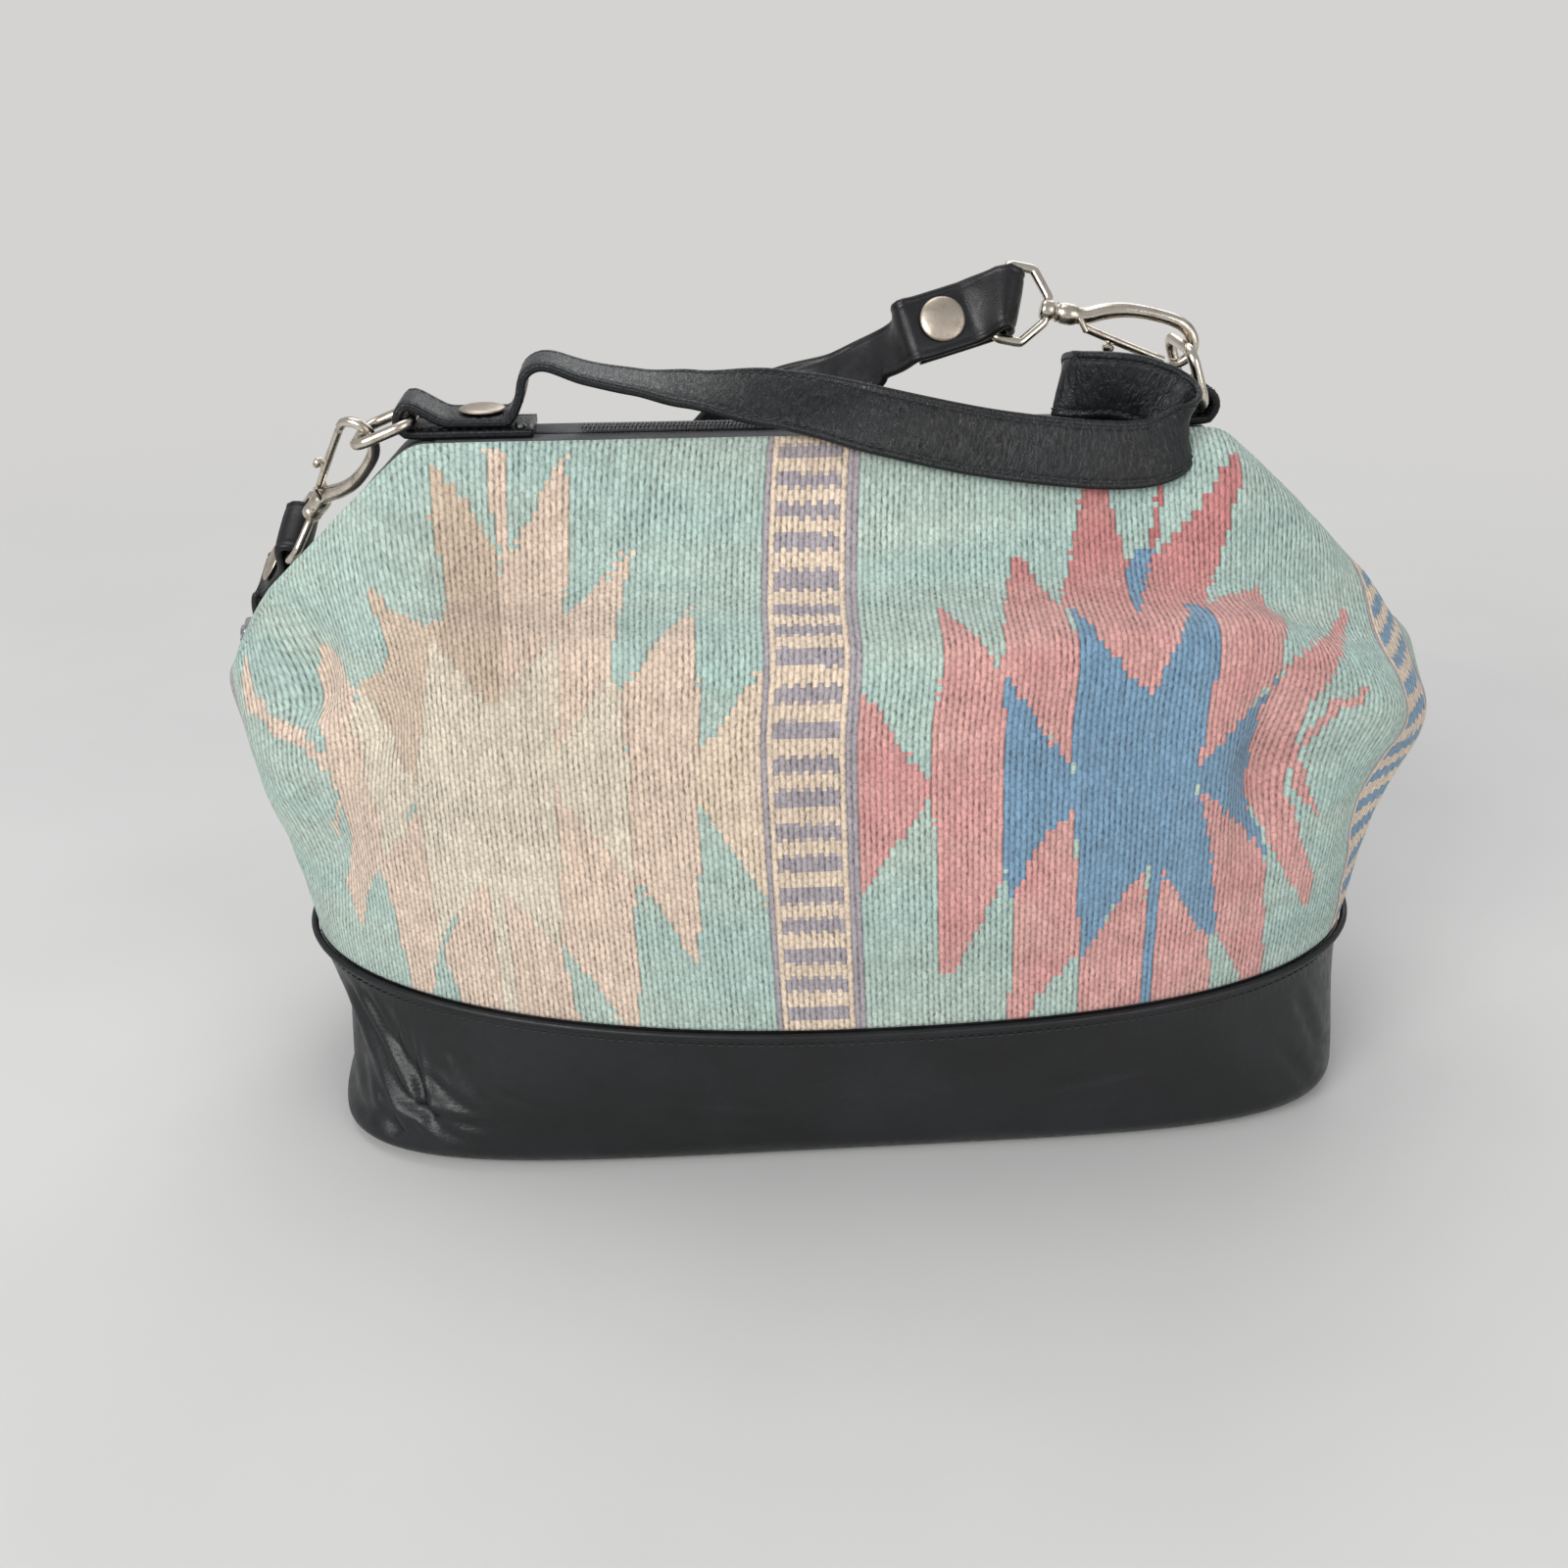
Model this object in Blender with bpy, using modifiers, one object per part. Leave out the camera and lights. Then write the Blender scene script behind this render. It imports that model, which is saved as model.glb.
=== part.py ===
"""Hinged-frame satchel bag: kilim body on a leather base, zip top, riveted handle, clip-on shoulder strap.

Metres, +Z up. X runs along the bag, the front faces -Y, and Z = 0 is the face it stands on.
"""
import bisect
import functools
import math

import bmesh
import bpy
from mathutils import Matrix, Vector

MM = 0.001
GAP = 0.3 * MM

# Leather base, a tray with a boxy foot and an oval rim: a fullness of 2 is an ellipse, more is boxier
RIM_CENTRE = 4 * MM
BASE_HALF_LENGTH = 184 * MM
BASE_HALF_DEPTH = 91 * MM
BASE_HEIGHT = 59 * MM
RIM_LEFT_FULLNESS = 2.05
RIM_RIGHT_FULLNESS = 2.5
FOOT_LENGTH_IN = 4 * MM
FOOT_DEPTH_IN = 8 * MM
FOOT_FULLNESS = 4.6
BASE_WALL = 2.8 * MM
BASE_FOOT_RADIUS = 9 * MM
BASE_COLUMNS = 28
BOARD_THICKNESS = 3 * MM
WELT_RADIUS = 1.6 * MM

# Kilim cloth and its lining
KILIM_THICKNESS = 2.8 * MM
LINING_THICKNESS = 0.8 * MM
END_SEAM = 1.2 * MM
BODY_COLUMNS = 34
LINING_GAP = 2.5 * MM
LEFT_END_BULGE = 19 * MM
RIGHT_END_BULGE = 19 * MM

# Hinged frame
FRAME_CENTRE = -4 * MM
FRAME_HALF_TOP = 127 * MM
FRAME_TOP = 226 * MM
HINGE_X = 184 * MM
FRAME_END_Z = 168 * MM
HINGE_DROP = 6 * MM
HINGE_Z = FRAME_END_Z - HINGE_DROP
FRAME_CORNER = 16 * MM
CHANNEL_WIDTH = 12 * MM
CHANNEL_HEIGHT = 11 * MM
CHANNEL_WALL = 1.5 * MM
CHANNEL_TO_MIDDLE = 1 * MM
CHANNEL_STOP = 9 * MM
ROD_THICKNESS = 4.6 * MM
ROD_HEIGHT = 6.5 * MM
LUG_RADIUS = 6 * MM
LUG_THICKNESS = 2 * MM
LUG_STEP = 0.1 * MM
HINGE_PIN_RADIUS = 2 * MM
HINGE_HEAD_RADIUS = 3.6 * MM
HINGE_HEAD_THICKNESS = 1.2 * MM
PIN_CLEARANCE = 0.1 * MM

# Zip along the top
TAPE_THICKNESS = 1 * MM
TAPE_HALF_LENGTH = 118 * MM
COIL_LEFT = -78 * MM
COIL_RIGHT = 42 * MM
COIL_RADIUS = 1.0 * MM
COIL_PITCH = 5 * MM
COIL_TO_MIDDLE = 1.9 * MM
SLIDER_REST_X = 32 * MM
SLIDER_LENGTH = 12 * MM
SLIDER_WIDTH = 9 * MM
SLIDER_PLATE = 1.1 * MM
SLIDER_NECK = 1.0 * MM
SLIDER_CLEARANCE = 0.5 * MM
BRIDGE_WIRE = 0.8 * MM
BRIDGE_HALF = 4 * MM
BRIDGE_RISE = 3.8 * MM
PULL_LENGTH = 24 * MM
PULL_WIDTH = 7 * MM
PULL_THICKNESS = 1.2 * MM
PULL_PIVOT_RISE = 1.2 * MM
EYE_BAR = 1.7 * MM
EYE_LENGTH = 5.3 * MM

# Straps
STRAP_WIDTH = 20.5 * MM
STRAP_THICKNESS = 2.8 * MM
LOOP_CORE = 3.0 * MM
SHOULDER_TAB = 30 * MM
CAP_SETBACK = 20 * MM
CAP_RADIUS = 7.2 * MM
CAP_DOME = 1.6 * MM
POST_RADIUS = 1.6 * MM
RIVET_RADIUS = 1.1 * MM
RIVET_HEAD = 1.8 * MM
RIVET_HEAD_THICKNESS = 0.8 * MM

# Rings and hooks
RING_WIRE = 1.75 * MM
RING_HALF_LENGTH = 12.6 * MM
RING_HALF_WIDTH = 9.5 * MM
RING_CORNER = 5 * MM
LOOP_WIRE = 1.5 * MM
LOOP_BAR_HALF = 12 * MM
LOOP_REACH = 17 * MM
LOOP_SHOULDER = 9 * MM
SWIVEL_BOSS = 3.2 * MM
SWIVEL_PIN_RADIUS = 1.1 * MM
COLLAR_LENGTH = 8 * MM
COLLAR_RADIUS = 3.3 * MM
COLLAR_BORE_DEPTH = 5 * MM
HOOK_WIRE = 2.1 * MM
GATE_WIRE = 1.3 * MM
GATE_KNOB = 2.0 * MM


def start_clean():
    for thing in list(bpy.data.objects):
        bpy.data.objects.remove(thing)


def make_collection(name):
    collection = bpy.data.collections.new(name)
    bpy.context.scene.collection.children.link(collection)
    return collection


start_clean()
BAG = make_collection("satchel_bag")
CUTTERS = make_collection("cutters")


def material(name, colour, roughness, metallic=0.0):
    finish = bpy.data.materials.new(name)
    finish.use_nodes = True
    shader = finish.node_tree.nodes["Principled BSDF"]
    shader.inputs["Base Color"].default_value = (*colour, 1.0)
    shader.inputs["Roughness"].default_value = roughness
    shader.inputs["Metallic"].default_value = metallic
    return finish


BLACK = (0.018, 0.019, 0.022)
MINT = (0.36, 0.54, 0.46)
NICKEL = (0.60, 0.56, 0.50)
STEEL = (0.42, 0.42, 0.43)


def finish_object(thing, colour, roughness, metallic=0.0, smooth=True):
    thing.data.materials.clear()
    thing.data.materials.append(material(thing.name, colour, roughness, metallic))
    if smooth and thing.type == "MESH":
        thing.data.shade_smooth()
        thing.data.set_sharp_from_angle(angle=math.radians(40))
    return thing


def object_from_bmesh(name, shape, collection=None):
    mesh = bpy.data.meshes.new(name)
    shape.to_mesh(mesh)
    shape.free()
    thing = bpy.data.objects.new(name, mesh)
    (collection or BAG).objects.link(thing)
    return thing


def face_out(shape):
    bmesh.ops.remove_doubles(shape, verts=shape.verts, dist=0.00001)
    bmesh.ops.recalc_face_normals(shape, faces=shape.faces)


def extruded_outline(name, outline, y_low, y_high, collection=None):
    """A flat outline in the XZ plane, extruded along Y."""
    shape = bmesh.new()
    corners = [shape.verts.new((x, y_low, z)) for x, z in outline]
    plate = shape.faces.new(corners)
    grown = bmesh.ops.extrude_face_region(shape, geom=[plate])
    moved = [v for v in grown["geom"] if isinstance(v, bmesh.types.BMVert)]
    bmesh.ops.translate(shape, verts=moved, vec=(0, y_high - y_low, 0))
    face_out(shape)
    return object_from_bmesh(name, shape, collection)


def hide_cutter(cutter):
    cutter.hide_render = True
    cutter.display_type = "WIRE"


def boolean(thing, other, operation):
    step = thing.modifiers.new(operation.lower(), "BOOLEAN")
    step.operation = operation
    step.object = other
    step.solver = "EXACT"
    hide_cutter(other)


def cylinder(name, radius, low, high, segments=16, collection=None):
    """A cylinder between two points."""
    low = Vector(low)
    high = Vector(high)
    shape = bmesh.new()
    turn = (high - low).to_track_quat("Z", "Y").to_matrix().to_4x4()
    place = Matrix.Translation((low + high) / 2) @ turn
    bmesh.ops.create_cone(
        shape, cap_ends=True, segments=segments, radius1=radius, radius2=radius,
        depth=(high - low).length, matrix=place)
    return object_from_bmesh(name, shape, collection)


def lathe_point(place, radius, along, angle):
    return place @ Vector((radius * math.cos(angle), radius * math.sin(angle), along))


def turned(name, profile, place, segments=16, collection=None):
    """A closed turned solid: profile rows are (radius, distance along the axis)."""
    shape = bmesh.new()
    rows = []
    for radius, along in profile:
        if radius == 0:
            rows.append([shape.verts.new(lathe_point(place, 0, along, 0))])
            continue
        row = []
        for step in range(segments):
            row.append(shape.verts.new(lathe_point(place, radius, along, 2 * math.pi * step / segments)))
        rows.append(row)
    for low, high in zip(rows, rows[1:]):
        for step in range(segments):
            after = (step + 1) % segments
            ring = [low[step % len(low)], low[after % len(low)],
                    high[after % len(high)], high[step % len(high)]]
            unique = list(dict.fromkeys(ring))
            shape.faces.new(unique)
    face_out(shape)
    return object_from_bmesh(name, shape, collection)


def axis_frame(origin, along, side):
    """Matrix whose Z runs along the axis and whose X is the nearest to the side given."""
    z = Vector(along).normalized()
    x = Vector(side) - Vector(side).dot(z) * z
    x.normalize()
    y = z.cross(x)
    place = Matrix((x, y, z)).transposed().to_4x4()
    place.translation = Vector(origin)
    return place


def smooth_route(points, spacing):
    """Points every so often along a smooth curve through the ones given."""
    points = [Vector(p) for p in points]
    ends = [points[0] * 2 - points[1]] + points + [points[-1] * 2 - points[-2]]
    fine = []
    for a, b, c, d in zip(ends, ends[1:], ends[2:], ends[3:]):
        tension = 0.5
        steps = max(2, int((c - b).length / spacing * 4))
        for step in range(steps):
            t = step / steps
            pull_b = (c - a) * tension
            pull_c = (d - b) * tension
            fine.append(
                b * (2 * t**3 - 3 * t**2 + 1) + pull_b * (t**3 - 2 * t**2 + t)
                + c * (3 * t**2 - 2 * t**3) + pull_c * (t**3 - t**2))
    fine.append(points[-1])
    return even_points(fine, spacing)


def even_points(fine, spacing):
    lengths = [0.0]
    for a, b in zip(fine, fine[1:]):
        lengths.append(lengths[-1] + (b - a).length)
    count = max(2, round(lengths[-1] / spacing))
    even = []
    place = 0
    for step in range(count + 1):
        target = lengths[-1] * step / count
        while place < len(fine) - 2 and lengths[place + 1] < target:
            place += 1
        span = lengths[place + 1] - lengths[place]
        share = (target - lengths[place]) / span if span else 0.0
        even.append(fine[place].lerp(fine[place + 1], share))
    return even


def tube(name, points, radius, closed=False, radii=None, resolution=2, collection=None):
    """A wire: a poly curve with a round bevel and filled caps."""
    curve = bpy.data.curves.new(name, "CURVE")
    curve.dimensions = "3D"
    curve.bevel_depth = radius
    curve.bevel_resolution = resolution
    curve.use_fill_caps = True
    spline = curve.splines.new("POLY")
    spline.points.add(len(points) - 1)
    spline.use_cyclic_u = closed
    for slot, point in zip(spline.points, points):
        slot.co = (*point, 1.0)
    if radii:
        for slot, share in zip(spline.points, radii):
            slot.radius = share
    thing = bpy.data.objects.new(name, curve)
    (collection or BAG).objects.link(thing)
    return thing


def as_mesh(curve_object):
    """The curve made a welded mesh, so that it can be cut or joined."""
    name = curve_object.name
    bpy.context.view_layer.update()
    shown = curve_object.evaluated_get(bpy.context.evaluated_depsgraph_get())
    mesh = bpy.data.meshes.new_from_object(shown)
    home = curve_object.users_collection[0]
    place = curve_object.matrix_world.copy()
    bpy.data.objects.remove(curve_object)
    shape = bmesh.new()
    shape.from_mesh(mesh)
    bmesh.ops.remove_doubles(shape, verts=shape.verts, dist=0.00001)
    shape.to_mesh(mesh)
    shape.free()
    thing = bpy.data.objects.new(name, mesh)
    thing.matrix_world = place
    home.objects.link(thing)
    return thing


# Sections of the soft body


def smoothstep(low, high, value):
    t = min(max((value - low) / (high - low), 0.0), 1.0)
    return t * t * (3 - 2 * t)


@functools.lru_cache(maxsize=None)
def oval_line(half_length, half_depth, fullness):
    """A quarter of a full oval from the middle of its front to its end, with the distances along it."""
    points = []
    for step in range(241):
        angle = math.pi / 2 * step / 240
        across = half_length * math.sin(angle)**(2 / fullness)
        points.append(Vector((across, -half_depth * math.cos(angle)**(2 / fullness))))
    lengths = [0.0]
    for a, b in zip(points, points[1:]):
        lengths.append(lengths[-1] + (b - a).length)
    return points, lengths


def oval(u, half_length, half_depth, left_fullness, right_fullness):
    """The front half of an oval and its outward side: u from -1 at the left end to 1 at the right end."""
    points, lengths = oval_line(half_length, half_depth, left_fullness if u < 0 else right_fullness)
    target = min(abs(u), 1.0) * lengths[-1]
    index = min(max(bisect.bisect_right(lengths, target) - 1, 0), len(points) - 2)
    share = (target - lengths[index]) / (lengths[index + 1] - lengths[index])
    place = points[index].lerp(points[index + 1], share)
    before = points[max(index - 3, 0)]
    after = points[min(index + 4, len(points) - 1)]
    way = (after - before).normalized()
    out = Vector((way.y, -way.x)) if 0 < abs(u) < 1 else Vector((abs(u), abs(u) - 1))
    side = -1 if u < 0 else 1
    return Vector((place.x * side + RIM_CENTRE, place.y)), Vector((out.x * side, out.y))


def rim_oval(u):
    return oval(u, BASE_HALF_LENGTH, BASE_HALF_DEPTH, RIM_LEFT_FULLNESS, RIM_RIGHT_FULLNESS)


def foot_oval(u):
    length = BASE_HALF_LENGTH - FOOT_LENGTH_IN
    return oval(u, length, BASE_HALF_DEPTH - FOOT_DEPTH_IN, FOOT_FULLNESS, FOOT_FULLNESS)


def frame_line(inset, past_hinge):
    """Half of the frame's outer line in XZ, from the middle of the top down past the hinge."""
    slope = Vector((HINGE_X - FRAME_HALF_TOP, FRAME_END_Z - FRAME_TOP)).normalized()
    corner = Vector((FRAME_HALF_TOP, FRAME_TOP))
    turn = math.atan2(-slope.y, slope.x)
    reach = FRAME_CORNER * math.tan(turn / 2)
    centre = corner + Vector((-reach, -FRAME_CORNER))
    line = [Vector((0, FRAME_TOP - inset))]
    steps = 5
    for step in range(steps + 1):
        angle = turn * step / steps
        out = Vector((math.sin(angle), math.cos(angle)))
        line.append(centre + out * (FRAME_CORNER - inset))
    normal = Vector((-slope.y, slope.x))
    line.append(Vector((HINGE_X, FRAME_END_Z)) - normal * inset + slope * past_hinge)
    return line


KILIM_EDGE_DROP = 5.5 * MM
KILIM_EDGE_Y = CHANNEL_TO_MIDDLE + CHANNEL_WIDTH + GAP + KILIM_THICKNESS
KILIM_END_X = HINGE_X + LUG_THICKNESS * 2 + 7.5 * MM
KILIM_END_Z = FRAME_END_Z - 11 * MM
RIM_Z = BASE_HEIGHT + GAP


def kilim_top(u):
    """The kilim's top edge, along the front of the frame and round the hinge."""
    line = [Vector((p.x, -KILIM_EDGE_Y, p.y)) for p in frame_line(KILIM_EDGE_DROP, 2 * MM)]
    line.append(Vector((KILIM_END_X - 1 * MM, -KILIM_EDGE_Y * 0.62, KILIM_END_Z + 1 * MM)))
    line.append(Vector((KILIM_END_X, 0, KILIM_END_Z)))
    lengths = [0.0]
    for a, b in zip(line, line[1:]):
        lengths.append(lengths[-1] + (b - a).length)
    target = abs(u) * lengths[-1]
    for index in range(len(line) - 1):
        if target <= lengths[index + 1] + 1e-9:
            break
    share = (target - lengths[index]) / (lengths[index + 1] - lengths[index])
    place = line[index].lerp(line[index + 1], share)
    if u < 0:
        place.x = -place.x
    place.x += FRAME_CENTRE
    return place


# Soft folds: centre u, centre v, half widths in u and v, and depth (positive is pushed in)
FOLDS = [
    (-0.68, 0.60, 0.07, 0.11, 8 * MM),
    (-0.88, 0.55, 0.07, 0.12, -3 * MM),
    (-0.88, 0.78, 0.10, 0.15, 10 * MM),
    (-0.80, 0.34, 0.07, 0.16, 5 * MM),
    (0.56, 0.40, 0.05, 0.12, 9 * MM),
    (0.54, 0.72, 0.12, 0.06, 6 * MM),
    (0.72, 0.58, 0.10, 0.08, -5 * MM),
    (0.60, 0.93, 0.14, 0.08, -9 * MM),
    (0.80, 0.36, 0.07, 0.16, 5 * MM),
    (0.92, 0.60, 0.06, 0.14, -4 * MM),
    (-0.30, 0.30, 0.22, 0.18, -2 * MM),
    (0.25, 0.30, 0.20, 0.18, -2 * MM),
]

# How far each control point of the cloth's section is on its way in to the frame, and on its way up:
# a straight wall, a rounded shoulder and a slope in to the frame, and at the ends a bulge under the hinge
MIDDLE_SECTION = [
    (0, 0), (0, 0.19), (0.01, 0.40), (0.01, 0.62), (0.02, 0.81), (0.38, 0.79), (0.72, 0.90), (1, 1)]
END_SECTION = [(0, 0), (0, 0.17), (0, 0.38), (0, 0.60), (0.1, 0.80), (0.4, 0.93), (0.7, 0.98), (1, 1)]
LEFT_BULGE_SHARES = [0, 0.15, 0.42, 0.56, 0.66, 0.78, 0.5, 0]
RIGHT_BULGE_SHARES = [0, 0.15, 0.45, 0.80, 0.95, 0.6, 0.3, 0]


def spline_point(controls, t):
    """A point on the clamped cubic B-spline through the first and last control point."""
    spans = len(controls) - 3
    knots = [0.0] * 4 + [float(k) for k in range(1, spans)] + [float(spans)] * 4
    place = min(t * spans, spans - 1e-9)
    low = int(place)
    work = [controls[low + k].copy() for k in range(4)]
    for level in range(1, 4):
        for k in range(3, level - 1, -1):
            left = knots[low + k]
            right = knots[low + k + 4 - level]
            share = (place - left) / (right - left)
            work[k] = work[k - 1].lerp(work[k], share)
    return work[3]


@functools.lru_cache(maxsize=None)
def body_section(u):
    """The cloth's section at u, as points up its outer side and their distances along it."""
    rim, out = rim_oval(u)
    start = Vector((rim.x, rim.y, RIM_Z))
    end = kilim_top(u)
    rim_out = Vector((out.x, out.y, 0))
    share = smoothstep(0.45, 1.0, abs(u))
    bulge = (LEFT_END_BULGE if u < 0 else RIGHT_END_BULGE) * smoothstep(0.5, 1.0, abs(u))
    shares = LEFT_BULGE_SHARES if u < 0 else RIGHT_BULGE_SHARES
    controls = []
    for middle, tip, swell in zip(MIDDLE_SECTION, END_SECTION, shares):
        way_in = middle[0] + (tip[0] - middle[0]) * share
        way_up = middle[1] + (tip[1] - middle[1]) * share
        place = start.lerp(end, way_in)
        place.z = start.z + (end.z - start.z) * way_up
        controls.append(place + rim_out * bulge * swell)
    points = [spline_point(controls, step / 80) for step in range(81)]
    lengths = [0.0]
    for a, b in zip(points, points[1:]):
        lengths.append(lengths[-1] + (b - a).length)
    return points, lengths


def body_point(u, v):
    """The kilim's outer surface on the front half: v from 0 at the base to 1 at the frame."""
    points, lengths = body_section(u)
    target = v * lengths[-1]
    index = min(max(bisect.bisect_right(lengths, target) - 1, 0), len(points) - 2)
    share = (target - lengths[index]) / (lengths[index + 1] - lengths[index])
    place = points[index].lerp(points[index + 1], share)
    way = smoothstep(0.35, 0.98, abs(u)) * math.pi / 2
    lean = Vector((math.copysign(math.sin(way), u), -math.cos(way), 0))
    push = 0.0
    edge = min(1.0, v * 6, (1 - v) * 6)
    for mid_u, mid_v, wide_u, wide_v, depth in FOLDS:
        fall = ((u - mid_u) / wide_u)**2 + ((v - mid_v) / wide_v)**2
        push += depth * math.exp(-fall)
    push *= edge * min(1.0, (1 - abs(u)) * 12)
    inward = -(lean * 0.8 + Vector((0, 0, 0.6 * smoothstep(0.5, 0.8, v))))
    return place + inward.normalized() * push


def body_normal(u, v):
    step = 0.004
    along_u = body_point(min(u + step, 1), v) - body_point(max(u - step, -1), v)
    along_v = body_point(u, min(v + step, 1)) - body_point(u, max(v - step, 0))
    normal = along_u.cross(along_v)
    return normal.normalized()


def half_shell(name, rows, inset, thickness, rear):
    """One half of the soft body as an open sheet, thickened inwards: rows are its values of v."""
    columns = BODY_COLUMNS
    shape = bmesh.new()
    grid = []
    for column in range(columns + 1):
        u = -1 + 2 * column / columns
        line = []
        for v in rows:
            seat = inset if v > 0 else min(inset, KILIM_THICKNESS + GAP)
            place = body_point(u, v) - body_normal(u, v) * seat
            if v == 1 and place.y < -KILIM_EDGE_Y + MM:
                lean = abs(body_normal(u, 0.97).y)
                place.y = -(CHANNEL_TO_MIDDLE + CHANNEL_WIDTH + GAP + thickness * lean)
            if column in (0, columns):
                place.y = -END_SEAM
            if rear:
                place.y = -place.y
            line.append(shape.verts.new(place))
        grid.append(line)
    for left, right in zip(grid, grid[1:]):
        for low in range(len(rows) - 1):
            ring = [left[low], right[low], right[low + 1], left[low + 1]]
            if rear:
                ring.reverse()
            shape.faces.new(ring)
    thing = object_from_bmesh(name, shape)
    shell = thing.modifiers.new("thickness", "SOLIDIFY")
    shell.thickness = thickness
    shell.offset = -1
    return thing


KILIM_ROWS = (0, 0.14, 0.28, 0.40, 0.49, 0.55, 0.60, 0.65, 0.72, 0.82, 0.91, 1)
LINING_ROWS = KILIM_ROWS[:10]


def build_body():
    for name, rear in (("front_kilim_panel", False), ("rear_kilim_panel", True)):
        panel = half_shell(name, KILIM_ROWS, 0.0, KILIM_THICKNESS, rear)
        finish_object(panel, MINT, 0.9)
    inset = KILIM_THICKNESS + LINING_GAP
    for name, rear in (("front_lining", False), ("rear_lining", True)):
        panel = half_shell(name, LINING_ROWS, inset, LINING_THICKNESS, rear)
        finish_object(panel, (0.05, 0.05, 0.06), 0.8)


# Leather base


def base_rim(height, inset):
    """Points right round the base at a height, counter-clockwise seen from above, set in by an inset."""
    share = smoothstep(0.05, 1.0, height / BASE_HEIGHT)
    front = []
    for step in range(BASE_COLUMNS + 1):
        u = -1 + 2 * step / BASE_COLUMNS
        foot, foot_out = foot_oval(u)
        rim, rim_out = rim_oval(u)
        out = foot_out.lerp(rim_out, share).normalized()
        front.append(foot.lerp(rim, share) - out * inset)
    rear = [Vector((p.x, -p.y)) for p in reversed(front[1:-1])]
    return front + rear


def base_sections(inset):
    """Rows of the base's outer side from its flat bottom up: (inset from the outline, height)."""
    rows = []
    for step in range(4):
        angle = math.pi / 2 * step / 3
        rows.append((inset + BASE_FOOT_RADIUS * (1 - math.sin(angle)),
                     inset + (BASE_FOOT_RADIUS - inset) * (1 - math.cos(angle))))
    for share in (0.36, 0.58, 0.8, 1.0):
        rows.append((inset, BASE_HEIGHT * share))
    return rows


def build_base():
    shape = bmesh.new()
    rings = []
    for skin in (0.0, BASE_WALL):
        for inset, height in (base_sections(skin) if skin == 0.0 else reversed(base_sections(skin))):
            rings.append([shape.verts.new((p.x, p.y, height)) for p in base_rim(height, inset)])
    for low, high in zip(rings, rings[1:]):
        count = len(low)
        for step in range(count):
            after = (step + 1) % count
            shape.faces.new((low[step], low[after], high[after], high[step]))
    shape.faces.new(list(reversed(rings[0])))
    shape.faces.new(rings[-1])
    face_out(shape)
    finish_object(object_from_bmesh("leather_base", shape), BLACK, 0.38)

    inset = BASE_FOOT_RADIUS + BASE_WALL + GAP
    board = bmesh.new()
    plate = board.faces.new([board.verts.new((p.x, p.y, BASE_WALL + GAP)) for p in base_rim(0, inset)])
    grown = bmesh.ops.extrude_face_region(board, geom=[plate])
    moved = [v for v in grown["geom"] if isinstance(v, bmesh.types.BMVert)]
    bmesh.ops.translate(board, verts=moved, vec=(0, 0, BOARD_THICKNESS))
    face_out(board)
    finish_object(object_from_bmesh("base_board", board), (0.06, 0.05, 0.04), 0.8, smooth=False)

    drop = BASE_HEIGHT - WELT_RADIUS
    rim = base_rim(BASE_HEIGHT, -WELT_RADIUS - GAP)
    welt = tube("base_welt", [(p.x, p.y, drop) for p in rim], WELT_RADIUS, closed=True, resolution=1)
    finish_object(welt, BLACK, 0.45)


# Hinged frame


def band(outer_inset, inner_inset, past_hinge):
    """Outline of a bar that follows the frame line, both ways from the middle."""
    outer = frame_line(outer_inset, past_hinge)
    inner = frame_line(inner_inset, past_hinge)
    right = outer[1:] + list(reversed(inner[1:]))
    left = [Vector((-p.x, p.y)) for p in reversed(outer[1:])]
    left_inner = [Vector((-p.x, p.y)) for p in inner[1:]]
    return [(p.x + FRAME_CENTRE, p.y) for p in left + right + left_inner]


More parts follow.
